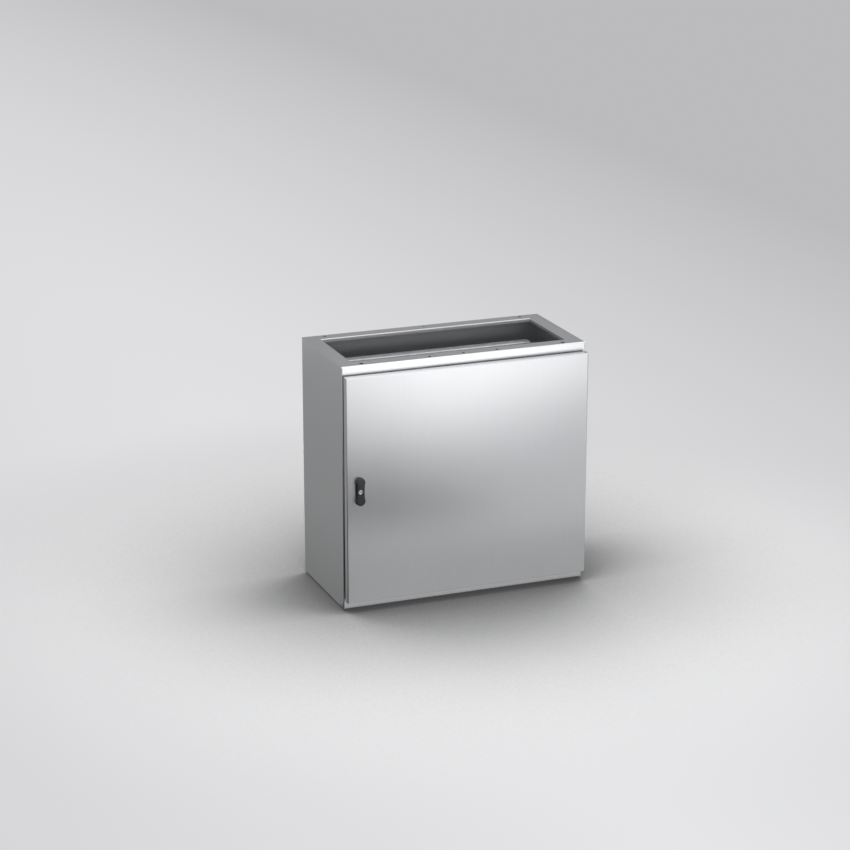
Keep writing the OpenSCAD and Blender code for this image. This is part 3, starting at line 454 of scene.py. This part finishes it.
# Pressure die-cast zinc, tumbled: dull grey metal with a fine rounded grit.
def dieCastZinc(look):
    material, tree = startMaterial("tumbledDieCastZinc")
    place = addNode(tree, "ShaderNodeTexCoord").outputs["Object"]
    grit = addNode(tree, "ShaderNodeTexNoise", {"Vector": place, "Scale": perMetre(look["grit"]),
                                                "Detail": 3.0}).outputs[0]
    endMaterial(tree, look, grit, grit, grit)
    return material


foamLook = {
    "dark": "#1c1c1d", "light": "#38383a",
    "pore": 1.3,  # mm, about twice the real pore so that it shows
    "mottle": 6.25, "mottleShare": 0.5,  # mm
    "relief": (0.4, 0.6),
    "even": {"Roughness": 0.92},
}


# Polyurethane foam poured in place: dull charcoal skin pitted with small open pores.
def pouredFoam(look):
    material, tree = startMaterial("pouredPolyurethaneFoam")
    place = addNode(tree, "ShaderNodeTexCoord").outputs["Object"]
    pores = addNode(tree, "ShaderNodeTexVoronoi", {"Vector": place, "Scale": perMetre(look["pore"])})
    pores = pores.outputs["Distance"]
    mottle = addNode(tree, "ShaderNodeTexNoise", {"Vector": place, "Scale": perMetre(look["mottle"]),
                                                  "Detail": 3.0})
    both = addNode(tree, "ShaderNodeMix", {"Factor": look["mottleShare"], 2: pores, 3: mottle.outputs[0]})
    endMaterial(tree, look, both.outputs[0], None, pores)
    return material


nylonLook = {
    "dark": "#1d1e1f", "light": "#2a2b2c",
    "spark": 0.8,  # mm, skin of a spark-eroded mould
    "flow": 16.667, "flowShare": 0.5,  # mm
    "roughness": (0.40, 0.52), "relief": (0.15, 0.2),
    "even": {"IOR": 1.53},
}


# Glass-filled polyamide moulded in a spark-eroded tool: near black with a fine satin grain.
def mouldedPolyamide(look):
    material, tree = startMaterial("sparkGrainedBlackPolyamide")
    place = addNode(tree, "ShaderNodeTexCoord").outputs["Object"]
    spark = addNode(tree, "ShaderNodeTexNoise", {"Vector": place, "Scale": perMetre(look["spark"]),
                                                 "Detail": 2.0}).outputs[0]
    flow = addNode(tree, "ShaderNodeTexNoise", {"Vector": place, "Scale": perMetre(look["flow"]),
                                                "Detail": 2.0}).outputs[0]
    both = addNode(tree, "ShaderNodeMix", {"Factor": look["flowShare"], 2: spark, 3: flow}).outputs[0]
    endMaterial(tree, look, both, both, spark)
    return material


# the top frame gets a lighter copy of the steel: painted light on its top faces and front band, and lighter,
# less dull lips as painted light too
litFrameLook = {**steelLook, "dark": "#d6d7d9", "light": "#e0e1e2", "mill": "#c3c4c6", "millMetal": 0.8}
# mm, holes along the front of the top frame, each darkened with painted shade; those at the rear catch the
# light and are left bare
topHoles = [(x, -125.5, 4.5) for x in (-248.0, 248.0)] + [(x, -125.5, 3.25) for x in (-83.0, 0.0, 83.0)]
ownSteel = {
    "top_frame": brushedStainless("punchedBrushedStainless", litFrameLook, "mitred", insideOf["cabinet"],
                                  topHoles),
    "base_frame": brushedStainless("mitreBrushedStainless", steelLook, "mitred", insideOf["cabinet"]),
    "door_panel": brushedStainless("doorBrushedStainless", steelLook, "z", insideOf["door"]),
}
finishes = {
    "brushed_stainless": brushedStainless("uprightBrushedStainless", steelLook, "z", insideOf["cabinet"]),
    "galvanised_sheet": galvanisedSheet(galvanisedLook),
    "zinc_plated_steel": zincPlatedSteel(platedLook),
    "cast_zinc": dieCastZinc(castLook),
    "foam_seal": pouredFoam(foamLook),
    "black_polyamide": mouldedPolyamide(nylonLook),
}


def paint(thing, material):
    thing.data.materials.clear()
    thing.data.materials.append(material)


slotOfNode = {part["node"]: part["material_slot"] for part in frame["record"]["subparts"]}
for nodeName, thing in cadNodes.items():
    paint(thing, ownSteel.get(nodeName) or finishes[slotOfNode[nodeName]])
print("stage: finishes on", len(cadNodes), "nodes")

creaseAngle = math.radians(35)  # edges sharper than this stay crisp


# loops of points, each joined to the next; in a hollow shape the last one joins the first
def joinLoops(shape, loops, hollow):
    count = len(loops[0])
    pairs = list(zip(loops, loops[1:])) + ([(loops[-1], loops[0])] if hollow else [])
    for lower, upper in pairs:
        for i in range(count):
            j = (i + 1) % count
            shape.faces.new((lower[i], lower[j], upper[j], upper[i]))
    if not hollow:
        shape.faces.new(list(reversed(loops[0])))
        shape.faces.new(loops[-1])


# round loops stacked along +Z; a ring is (height, radius) or (height, function of the angle), in mm
def ringStack(shape, rings, segments, hollow=False):
    loops = []
    for height, radius in rings:
        loop = []
        for step in range(segments):
            angle = 2 * math.pi * step / segments
            r = radius(angle) if callable(radius) else radius
            loop.append(shape.verts.new((r * math.cos(angle) * mm, r * math.sin(angle) * mm, height * mm)))
        loops.append(loop)
    joinLoops(shape, loops, hollow)


def hexRadius(flats):
    return lambda angle: flats / 2 / math.cos((angle + math.pi / 6) % (math.pi / 3) - math.pi / 6)


def smoothMesh(mesh):
    for face in mesh.polygons:
        face.use_smooth = True
    mesh.set_sharp_from_angle(angle=creaseAngle)


def shapeToObject(shape, name):
    bmesh.ops.recalc_face_normals(shape, faces=shape.faces[:])
    mesh = bpy.data.meshes.new(name)
    shape.to_mesh(mesh)
    shape.free()
    smoothMesh(mesh)
    thing = bpy.data.objects.new(name, mesh)
    scene.collection.objects.link(thing)
    return thing


def seat(thing, body, slotName, nodeName):
    paint(thing, finishes[slotName])
    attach(thing, body)
    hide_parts(nodeName)


# black waisted lock plate on the door, in mm
lockPlateSpec = {
    "node": "lock_escutcheon",
    "lobeRadius": 11.0, "lobeRise": 22.5, "waist": 17.0,
    "edgeRound": (1.2, 3.2),  # at the waist and at the ends
    "fullRound": 0.8,  # share of the rise from which the edge is as round as at the ends
    "roundStep": 15,  # degrees
    "footChamfer": 0.3,
    "bore": 6.3, "boreChamfer": (0.25, 0.4),  # across and deep
    "sides": (26, 24),  # points round a lobe and along a waist
}


def lockOutline(spec):
    lobe, rise, half = spec["lobeRadius"], spec["lobeRise"], spec["waist"] / 2
    waistRadius = (rise ** 2 + half ** 2 - lobe ** 2) / (2 * (lobe - half))
    waistX = half + waistRadius
    touch = math.atan2(rise, waistX)
    lobeSteps, waistSteps = spec["sides"]
    points = []
    for sign in (1, -1):
        for i in range(lobeSteps):  # one lobe, from its right touch point round to its left one
            angle = -touch + (math.pi + 2 * touch) * i / lobeSteps
            n = Vector((math.cos(angle), math.sin(angle))) * sign
            points.append((Vector((0, rise)) * sign + n * lobe, n))
        for i in range(waistSteps):  # then the hollow waist, whose face looks at the arc's own centre
            angle = touch - 2 * touch * i / waistSteps
            n = Vector((math.cos(angle), math.sin(angle))) * sign
            points.append((Vector((-waistX, 0)) * sign + n * waistRadius, -n))
    return points


def makeLockPlate(spec):
    low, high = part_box(spec["node"])
    midX, midZ = (low[0] + high[0]) / 2, (low[2] + high[2]) / 2
    faceY, backY = low[1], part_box("lock_seal")[0][1]
    outline = lockOutline(spec)
    slim, full = spec["edgeRound"]
    rounds = []
    for point, normal in outline:  # the edge swells smoothly from the waist to the ends
        far = min(1.0, abs(point.y) / (spec["lobeRise"] * spec["fullRound"]))
        share = far * far * (3 - 2 * far)
        rounds.append(slim + share * (full - slim))
    shape = bmesh.new()

    def at(flat, depth):
        return shape.verts.new((midX + flat.x * mm, depth, midZ + flat.y * mm))

    foot, bore = spec["footChamfer"], spec["bore"]
    across, deep = spec["boreChamfer"]
    loops = [[at(p - n * foot, backY) for p, n in outline], [at(p, backY - foot * mm) for p, n in outline]]
    for turn in range(0, 91, spec["roundStep"]):
        lean = math.radians(turn)
        loops.append([at(p - n * r * (1 - math.cos(lean)), faceY + r * (1 - math.sin(lean)) * mm)
                      for (p, n), r in zip(outline, rounds)])
    ways = [p.normalized() for p, n in outline]
    loops.append([at(w * (bore + across), faceY) for w in ways])
    loops.append([at(w * bore, faceY + deep * mm) for w in ways])
    loops.append([at(w * bore, backY) for w in ways])
    joinLoops(shape, loops, True)
    plate = shapeToObject(shape, "lockPlate")
    seat(plate, "door", "black_polyamide", spec["node"])


makeLockPlate(lockPlateSpec)

# steel lock insert: a turned cup with a double-bit pin, and its spindle behind the door, in mm
lockInsertSpec = {
    "node": "lock_core",
    "face": 6.15, "head": 4.7,  # turned small enough to run free
    "rim": ((0.0, 0.5), (0.15, 0.15), (0.5, 0.0)),  # depth and inset of its rounded edge
    "well": 4.25, "wellDeep": 3.5, "wellStep": 0.2,
    "mouth": ((0.15, 0.1), (0.0, 0.35)),  # depth and growth of the well's mouth
    "floor": (0.02, 0.1),  # how far the well's floor stands up and reaches into the wall
    "pin": 2.1, "bit": (7.5, 3.0), "pinBelow": 1.0, "pinRoot": 0.2,
    "bitRound": ((0.0, 0.35), (0.15, 0.12), (0.4, 0.0)),  # depth and inset of its rounded edge
    "noseOut": 0.5, "nose": ((0.0, 0.4), (0.02, 1.1), (0.2, 1.5), (0.55, 1.6), (0.8, 1.6)),  # depth, radius
    "barrel": 4.9, "barrelEnd": -161.5, "barrelLap": 0.1,
    "spindle": 3.6, "square": 5.44, "squareLong": 4.0, "squareLap": 0.05,
    "tail": 2.4, "tailLong": 4.3, "tailChamfer": 0.4,
    "sides": {"cup": 48, "bit": 72, "nose": 32, "spindle": 36, "square": 48},
}


def makeLockInsert(spec):
    low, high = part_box(spec["node"])
    faceY, tailY = low[1] / mm, high[1] / mm
    axis = Vector(((low[0] + high[0]) / 2, 0.0, (low[2] + high[2]) / 2))
    sides = spec["sides"]
    headBack, wellEnd = faceY + spec["head"], faceY + spec["wellDeep"]
    mouth = [(faceY + deep, spec["well"] + grow) for deep, grow in spec["mouth"]]
    rim = [(faceY + deep, spec["face"] - inset) for deep, inset in spec["rim"]]
    throat = spec["well"] - spec["wellStep"]
    shape = bmesh.new()
    ringStack(shape, mouth + rim + [(headBack, spec["face"]), (headBack, throat), (wellEnd, throat),
                                    (wellEnd, spec["well"])], sides["cup"], True)
    stand, reach = spec["floor"]
    floor = spec["well"] + reach
    ringStack(shape, [(wellEnd - stand, floor), (headBack, floor)], sides["cup"])

    # the bit is a bar across the pin, the pin its round middle
    def bitEdge(inset):
        halfLong, halfWide = spec["bit"][0] / 2 - inset, spec["bit"][1] / 2 - inset

        def edge(angle):
            tiny = 1e-6
            bar = min(halfLong / max(abs(math.cos(angle)), tiny), halfWide / max(abs(math.sin(angle)), tiny))
            return max(spec["pin"] - inset, bar)
        return edge

    top = faceY + spec["pinBelow"]
    bit = [(top + deep, bitEdge(inset)) for deep, inset in spec["bitRound"]]
    ringStack(shape, bit + [(wellEnd + spec["pinRoot"], bitEdge(0.0))], sides["bit"])
    ringStack(shape, [(top - spec["noseOut"] + deep, r) for deep, r in spec["nose"]], sides["nose"])
    squareEnd = tailY - spec["tailLong"]
    squareStart = squareEnd - spec["squareLong"]
    ringStack(shape, [(headBack - spec["barrelLap"], spec["barrel"]), (spec["barrelEnd"], spec["barrel"]),
                      (spec["barrelEnd"], spec["spindle"]), (squareStart, spec["spindle"])], sides["spindle"])
    flats, lap = spec["square"] / 2, spec["squareLap"]

    def squareEdge(angle):
        return flats / max(abs(math.cos(angle)), abs(math.sin(angle)))

    ringStack(shape, [(squareStart - lap, squareEdge), (squareEnd, squareEdge)], sides["square"])
    tail, chamfer = spec["tail"], spec["tailChamfer"]
    ringStack(shape, [(squareEnd - lap, tail), (tailY - chamfer, tail), (tailY, tail - chamfer)],
              sides["spindle"])
    for v in shape.verts:  # stood along +Y on the lock's axis
        v.co = Vector((axis.x + v.co.x, v.co.z, axis.z - v.co.y))
    insert = shapeToObject(shape, "lockInsert")
    seat(insert, "lock_drive", "zinc_plated_steel", spec["node"])


makeLockInsert(lockInsertSpec)
print("stage: lock plate and insert")


# fasteners and gasket are grown by node trees, and then turned into plain meshes
def makeTree(name, wanted):
    tree = bpy.data.node_groups.new(name, "GeometryNodeTree")
    tree.interface.new_socket("Geometry", in_out="INPUT", socket_type="NodeSocketGeometry")
    for label, kind in wanted:
        tree.interface.new_socket(label, in_out="INPUT", socket_type="NodeSocket" + kind)
    tree.interface.new_socket("Geometry", in_out="OUTPUT", socket_type="NodeSocketGeometry")
    return tree, addNode(tree, "NodeGroupInput").outputs


def runTree(thing, tree, values):
    grown = thing.modifiers.new(tree.name, "NODES")
    grown.node_group = tree
    for item in tree.interface.items_tree:
        if item.item_type == "SOCKET" and item.in_out == "INPUT" and item.name in values:
            grown[item.identifier] = values[item.name]
    scene.view_layers[0].update()
    ready = thing.evaluated_get(bpy.context.evaluated_depsgraph_get())
    mesh = bpy.data.meshes.new_from_object(ready)
    thing.modifiers.clear()
    thing.data = mesh
    mesh.name = thing.name
    smoothMesh(mesh)


# one template of each kind of fastener, seated at the CAD's own places and turned by chance
def seatingTree():
    tree, given = makeTree("seatFasteners", [("Fastener", "Object"), ("Turn seed", "Int"),
                                             ("Finish", "Material")])
    axis = addNode(tree, "GeometryNodeInputNamedAttribute", {"Name": "seatAxis"}, data_type="FLOAT_VECTOR")
    stand = addNode(tree, "FunctionNodeAlignRotationToVector", {"Vector": axis.outputs[0]}, axis="Z")
    spin = addNode(tree, "FunctionNodeRandomValue", {2: 0.0, 3: 2 * math.pi, "Seed": given["Turn seed"]},
                   data_type="FLOAT")
    twist = addNode(tree, "FunctionNodeAxisAngleToRotation", {"Axis": (0, 0, 1), "Angle": spin.outputs[1]})
    turned = addNode(tree, "FunctionNodeRotateRotation", {
        "Rotation": stand.outputs[0], "Rotate By": twist.outputs[0]}, rotation_space="LOCAL")
    template = addNode(tree, "GeometryNodeObjectInfo", {"Object": given["Fastener"]})
    placed = addNode(tree, "GeometryNodeInstanceOnPoints", {
        "Points": given["Geometry"], "Instance": template.outputs["Geometry"], "Rotation": turned.outputs[0]})
    solid = addNode(tree, "GeometryNodeRealizeInstances", {"Geometry": placed.outputs[0]})
    dressed = addNode(tree, "GeometryNodeSetMaterial", {"Geometry": solid.outputs[0],
                                                        "Material": given["Finish"]})
    addNode(tree, "NodeGroupOutput", {0: dressed.outputs[0]})
    return tree


fastenerTree = seatingTree()


# seats is a list of (place in mm, the way the thread points)
def seatFasteners(name, template, seats, body, seed, nodeName):
    mesh = bpy.data.meshes.new(name)
    mesh.from_pydata([[c * mm for c in place] for place, axis in seats], [], [])
    ways = mesh.attributes.new("seatAxis", "FLOAT_VECTOR", "POINT")
    ways.data.foreach_set("vector", [c for place, axis in seats for c in axis])
    thing = bpy.data.objects.new(name, mesh)
    scene.collection.objects.link(thing)
    runTree(thing, fastenerTree, {"Fastener": template, "Turn seed": seed,
                                  "Finish": finishes["zinc_plated_steel"]})
    seat(thing, body, "zinc_plated_steel", nodeName)


# mm; head is a radius, flats and socket are widths across flats
fastenerSizes = {
    "nutM6": {"thread": 6.0, "flats": 9.976, "high": 5.0},
    "nutM5": {"thread": 5.0, "flats": 8.31, "high": 4.0},
    "nutM8": {"thread": 8.0, "flats": 13.3, "high": 6.4},
    "panM6": {"thread": 6.0, "pitch": 1.0, "length": 10.0, "head": 5.25, "headHigh": 3.6, "socket": 4.0},
    "panM3": {"thread": 2.4, "pitch": 0.5, "length": 1.0, "head": 2.1, "headHigh": 1.8, "socket": 1.7},
    "sunkM5": {"thread": 5.0, "pitch": 0.8, "length": 9.6, "head": 4.9, "socket": 3.0},
    "studM6": {"thread": 6.0, "pitch": 1.0, "length": 10.0},
    "studM8": {"thread": 8.0, "pitch": 1.25, "length": 18.0},
}
# mm, the small edges of each kind
fastenerTrim = {
    "sides": 36,
    "thread": {"deep": 0.55, "point": 0.25,  # shares of the pitch
               "rings": 5, "leastRings": 4, "sides": 20, "lap": 0.05},  # rings in each turn
    "nut": {"cone": 0.62, "faceInset": 0.15, "foot": 0.3, "mouth": 0.35, "mouthDeep": 0.4, "fit": 0.05},
    "socket": {"grow": 0.12, "deep": 0.15, "tip": 0.2},
    "pan": {"footInset": 0.15, "footHigh": 0.2, "socketEnd": (0.42, 0.3),  # shares of the head's height
            "dome": ((0.35, 0.985), (0.62, 0.9), (0.84, 0.74), (0.97, 0.56), (1.0, 0.46))},  # and radius
    "sunk": {"edge": ((0.25, 0.25), (0.05, 0.1), (0.0, 0.2)),  # depth and inset
             "socketEnd": (0.8, 0.95)},  # shares of the head's depth
    "stud": {"weld": ((0.0, 0.5), (0.25, 0.25), (0.6, -0.1)), "start": 0.3, "sides": 24},  # height and growth
}


# a right-hand thread as a stack of rings whose ridge climbs one pitch for each turn
def threadRings(shape, size, start):
    trim, pitch, end = fastenerTrim["thread"], size["pitch"], size["length"]
    deep = trim["deep"] * pitch
    steps = max(trim["leastRings"], round((end - start) / pitch * trim["rings"]))
    rings = []
    for i in range(steps + 1):
        z = start + (end - start) * i / steps
        taper = min(1.0, (end - z) / pitch + trim["point"])  # the point is chamfered

        def ridge(angle, z=z, taper=taper):
            phase = (z / pitch - angle / (2 * math.pi)) % 1.0
            return (size["thread"] / 2 - deep * (1 - taper)) - deep * taper * abs(2 * phase - 1)
        rings.append((z, ridge))
    ringStack(shape, rings, trim["sides"])


def makeNut(name, size):
    trim, thread, half, high = fastenerTrim["nut"], size["thread"] / 2, size["flats"] / 2, size["high"]
    corner = size["flats"] / math.sqrt(3)
    edge = hexRadius(size["flats"])
    drop = (corner - half) * trim["cone"]

    def cone(angle):
        return min(edge(angle), (half + corner) / 2)

    face, bore = half - trim["faceInset"], thread - trim["fit"]
    shape = bmesh.new()
    ringStack(shape, [
        (0.0, thread + trim["foot"]), (0.0, face), (drop / 2, cone), (drop, edge),
        (high - drop, edge), (high - drop / 2, cone), (high, face), (high, thread + trim["mouth"]),
        (high - trim["mouthDeep"], bore), (trim["mouthDeep"], bore),
    ], fastenerTrim["sides"], True)
    return shapeToObject(shape, name)


# round head above the seat, hex socket in it, thread below; +Z is the way the thread points
def makePanScrew(name, size):
    trim, mouth = fastenerTrim["pan"], fastenerTrim["socket"]
    head, high, socket = size["head"], size["headHigh"], hexRadius(size["socket"])
    wallEnd, tipEnd = trim["socketEnd"]
    shape = bmesh.new()
    ringStack(shape, [
        (0.0, head - trim["footInset"]), (-trim["footHigh"], head),
        *[(-high * up, head * out) for up, out in trim["dome"]],
        (-high, lambda angle: socket(angle) + mouth["grow"]), (-high + mouth["deep"], socket),
        (-high * wallEnd, socket), (-high * tipEnd, mouth["tip"]),
    ], fastenerTrim["sides"])
    threadRings(shape, size, -fastenerTrim["thread"]["lap"])
    return shapeToObject(shape, name)


def makeCountersunk(name, size):
    trim, mouth = fastenerTrim["sunk"], fastenerTrim["socket"]
    head, socket = size["head"], hexRadius(size["socket"])
    deep = head - size["thread"] / 2
    wallEnd, tipEnd = trim["socketEnd"]
    shape = bmesh.new()
    ringStack(shape, [
        (deep, size["thread"] / 2), *[(down, head - inset) for down, inset in trim["edge"]],
        (0.0, lambda angle: socket(angle) + mouth["grow"]), (mouth["deep"], socket),
        (deep * wallEnd, socket), (deep * tipEnd, mouth["tip"]),
    ], fastenerTrim["sides"])
    threadRings(shape, size, deep - fastenerTrim["thread"]["lap"])
    return shapeToObject(shape, name)


def makeStud(name, size):
    trim = fastenerTrim["stud"]
    shape = bmesh.new()
    ringStack(shape, [(up, size["thread"] / 2 + out) for up, out in trim["weld"]], trim["sides"])
    threadRings(shape, size, trim["start"])
    return shapeToObject(shape, name)


# where the fasteners sit, in mm
seating = {
    "plateScrewX": 262.54, "plateFront": 75.5, "plateNutY": 79.5,
    "bracketX": 276.5, "bracketY": 93.46, "bracketNutX": 280.0,
    "railLevels": (434.0, 157.0),
    "glandX": 270.5, "glandY": 109.0, "glandTop": 2.0, "glandNutZ": 5.5,
    "hingeX": 291.25, "hingeFace": -141.5, "hingeNutY": -137.0,
    "hingeLevels": (463.0, 126.0), "hingeRow": 21.0,
    "bodyEarth": (298.5, -78.5, 64.0), "doorEarth": (222.0, -160.0, 86.0), "washer": 1.6,
    "lockAxis": (-266.5, 294.5), "coverFace": -129.7, "coverScrew": (9.3, 24.0),
    "firstSeed": 3, "seedStep": 2,
}


def makeFasteners(spec):
    makers = {"nut": makeNut, "pan": makePanScrew, "sunk": makeCountersunk, "stud": makeStud}
    # a template's name is its kind and its thread, such as nut and M6
    templates = {name: makers[name.split("M")[0]](name, size) for name, size in fastenerSizes.items()}
    sides, rear, up, left = (-1, 1), (0, 1, 0), (0, 0, 1), (-1, 0, 0)
    corners = [(s, z) for s in sides for z in spec["railLevels"]]
    ring = [(x * spec["glandX"], y * spec["glandY"]) for x in (-1, 0, 1) for y in (-1, 0, 1) if x or y]
    rows = [z + s * spec["hingeRow"] for z in spec["hingeLevels"] for s in sides]
    bodyX, bodyY, bodyZ = spec["bodyEarth"]
    doorX, doorY, doorZ = spec["doorEarth"]
    lockX, lockZ = spec["lockAxis"]
    coverX, coverZ = spec["coverScrew"]
    jobs = [  # piece, template, body, CAD node and seats
        ("plateScrews", "panM6", "cabinet", "plate_screws",
         [((s * spec["plateScrewX"], spec["plateFront"], z), rear) for s, z in corners]),
        ("plateNuts", "nutM6", "cabinet", "plate_nuts",
         [((s * spec["plateScrewX"], spec["plateNutY"], z), rear) for s, z in corners]),
        ("bracketScrews", "panM6", "cabinet", "bracket_screws",
         [((s * spec["bracketX"], spec["bracketY"], z), (s, 0, 0)) for s, z in corners]),
        ("bracketNuts", "nutM6", "cabinet", "bracket_nuts",
         [((s * spec["bracketNutX"], spec["bracketY"], z), (s, 0, 0)) for s, z in corners]),
        ("glandStuds", "studM6", "cabinet", "gland_studs", [((x, y, spec["glandTop"]), up) for x, y in ring]),
        ("glandNuts", "nutM6", "cabinet", "gland_nuts", [((x, y, spec["glandNutZ"]), up) for x, y in ring]),
        ("hingeScrews", "sunkM5", "cabinet", "hinge_screws",
         [((spec["hingeX"], spec["hingeFace"], z), rear) for z in rows]),
        ("hingeNuts", "nutM5", "cabinet", "hinge_nuts",
         [((spec["hingeX"], spec["hingeNutY"], z), rear) for z in rows]),
        ("bodyEarthStud", "studM8", "cabinet", "body_earth_stud", [((bodyX, bodyY, bodyZ), left)]),
        ("bodyEarthNut", "nutM8", "cabinet", "body_earth_nut",
         [((bodyX - spec["washer"], bodyY, bodyZ), left)]),
        ("doorEarthStud", "studM8", "door", "door_earth_stud", [((doorX, doorY, doorZ), rear)]),
        ("doorEarthNut", "nutM8", "door", "door_earth_nut", [((doorX, doorY + spec["washer"], doorZ), rear)]),
        ("coverScrews", "panM3", "door", "cover_screws",
         [((lockX + s * coverX, spec["coverFace"], lockZ + s * coverZ), (0, -1, 0)) for s in sides]),
    ]
    for turn, (piece, kind, body, nodeName, seats) in enumerate(jobs):
        seed = spec["firstSeed"] + spec["seedStep"] * turn
        seatFasteners(piece, templates[kind], seats, body, seed, nodeName)
    for template in templates.values():
        bpy.data.objects.remove(template)


makeFasteners(seating)
print("stage: fasteners seated")

# door gasket: a poured foam bead swept round the door's inner face, in mm
gasketSpec = {
    "node": "door_gasket",
    "width": 6.0, "corner": 9.0, "cornerSteps": 10, "step": 4.0,
    "foot": (0.2, 0.6), "crownSpare": 0.08, "crownStep": 15,  # across and up; room for the wobble; degrees
    "wobble": 0.12, "ripples": 70.0,  # the bead isn't perfectly even; ripples in a metre
}


def gasketTree():
    tree, given = makeTree("pourGasket", [
        ("Bead", "Object"), ("Across", "Float"), ("Up", "Float"), ("Corner", "Float"),
        ("Corner steps", "Int"), ("Step", "Float"), ("Wobble", "Float"), ("Ripples", "Float"),
        ("Centre", "Vector"), ("Finish", "Material")])
    path = addNode(tree, "GeometryNodeCurvePrimitiveQuadrilateral", {"Width": given["Across"],
                                                                    "Height": given["Up"]})
    rounded = addNode(tree, "GeometryNodeFilletCurve", {
        "Curve": path.outputs[0], "Count": given["Corner steps"], "Radius": given["Corner"]}, mode="POLY")
    even = addNode(tree, "GeometryNodeResampleCurve", {"Curve": rounded.outputs[0], "Length": given["Step"]},
                   mode="LENGTH")
    upright = addNode(tree, "GeometryNodeSetCurveNormal", {"Curve": even.outputs[0]}, mode="Z_UP")
    bead = addNode(tree, "GeometryNodeObjectInfo", {"Object": given["Bead"]})
    swept = addNode(tree, "GeometryNodeCurveToMesh", {"Curve": upright.outputs[0],
                                                      "Profile Curve": bead.outputs["Geometry"]})
    spot = addNode(tree, "GeometryNodeInputPosition")
    ripple = addNode(tree, "ShaderNodeTexNoise", {"Vector": spot.outputs[0], "Scale": given["Ripples"],
                                                  "Detail": 1.0})
    centred = addNode(tree, "ShaderNodeVectorMath", {0: ripple.outputs["Color"], 1: (0.5, 0.5, 0.5)},
                      operation="SUBTRACT")
    scaled = addNode(tree, "ShaderNodeVectorMath", {0: centred.outputs[0], "Scale": given["Wobble"]},
                     operation="SCALE")
    uneven = addNode(tree, "GeometryNodeSetPosition", {"Geometry": swept.outputs[0],
                                                       "Offset": scaled.outputs[0]})
    stood = addNode(tree, "GeometryNodeTransform", {
        "Geometry": uneven.outputs[0], "Translation": given["Centre"], "Rotation": (math.pi / 2, 0.0, 0.0)})
    solid = addNode(tree, "GeometryNodeRealizeInstances", {"Geometry": stood.outputs[0]})
    dressed = addNode(tree, "GeometryNodeSetMaterial", {"Geometry": solid.outputs[0],
                                                        "Material": given["Finish"]})
    addNode(tree, "NodeGroupOutput", {0: dressed.outputs[0]})
    return tree


def makeGasket(spec):
    low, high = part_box(spec["node"])
    half, tall = spec["width"] / 2 * mm, high[1] - low[1]
    footIn, footHigh = (size * mm for size in spec["foot"])
    crown = half - spec["crownSpare"] * mm
    # the bead's section: flat foot, straight flanks, domed crown
    section = [(-half + footIn, 0.0), (-half, footHigh), (-half, tall - half)]
    for turn in range(180 - spec["crownStep"], 0, -spec["crownStep"]):
        lean = math.radians(turn)
        section.append((half * math.cos(lean), tall - half + crown * math.sin(lean)))
    section += [(half, tall - half), (half, footHigh), (half - footIn, 0.0)]
    curve = bpy.data.curves.new("gasketBead", "CURVE")
    curve.dimensions = "3D"
    line = curve.splines.new("POLY")
    line.points.add(len(section) - 1)
    for point, (across, up) in zip(line.points, section):
        point.co = (across, up, 0.0, 1.0)
    line.use_cyclic_u = True
    bead = bpy.data.objects.new("gasketBead", curve)
    scene.collection.objects.link(bead)
    gasket = bpy.data.objects.new("doorGasket", bpy.data.meshes.new("doorGasket"))
    scene.collection.objects.link(gasket)
    centre = ((low[0] + high[0]) / 2, low[1], (low[2] + high[2]) / 2)
    runTree(gasket, gasketTree(), {
        "Bead": bead, "Across": high[0] - low[0] - 2 * half, "Up": high[2] - low[2] - 2 * half,
        "Corner": spec["corner"] * mm, "Corner steps": spec["cornerSteps"], "Step": spec["step"] * mm,
        "Wobble": spec["wobble"] * mm, "Ripples": spec["ripples"], "Centre": centre,
        "Finish": finishes["foam_seal"]})
    bpy.data.objects.remove(bead)
    seat(gasket, "door", "foam_seal", spec["node"])


makeGasket(gasketSpec)
print("stage: gasket poured")

makeLamps(studio)
print("stage: lamps")
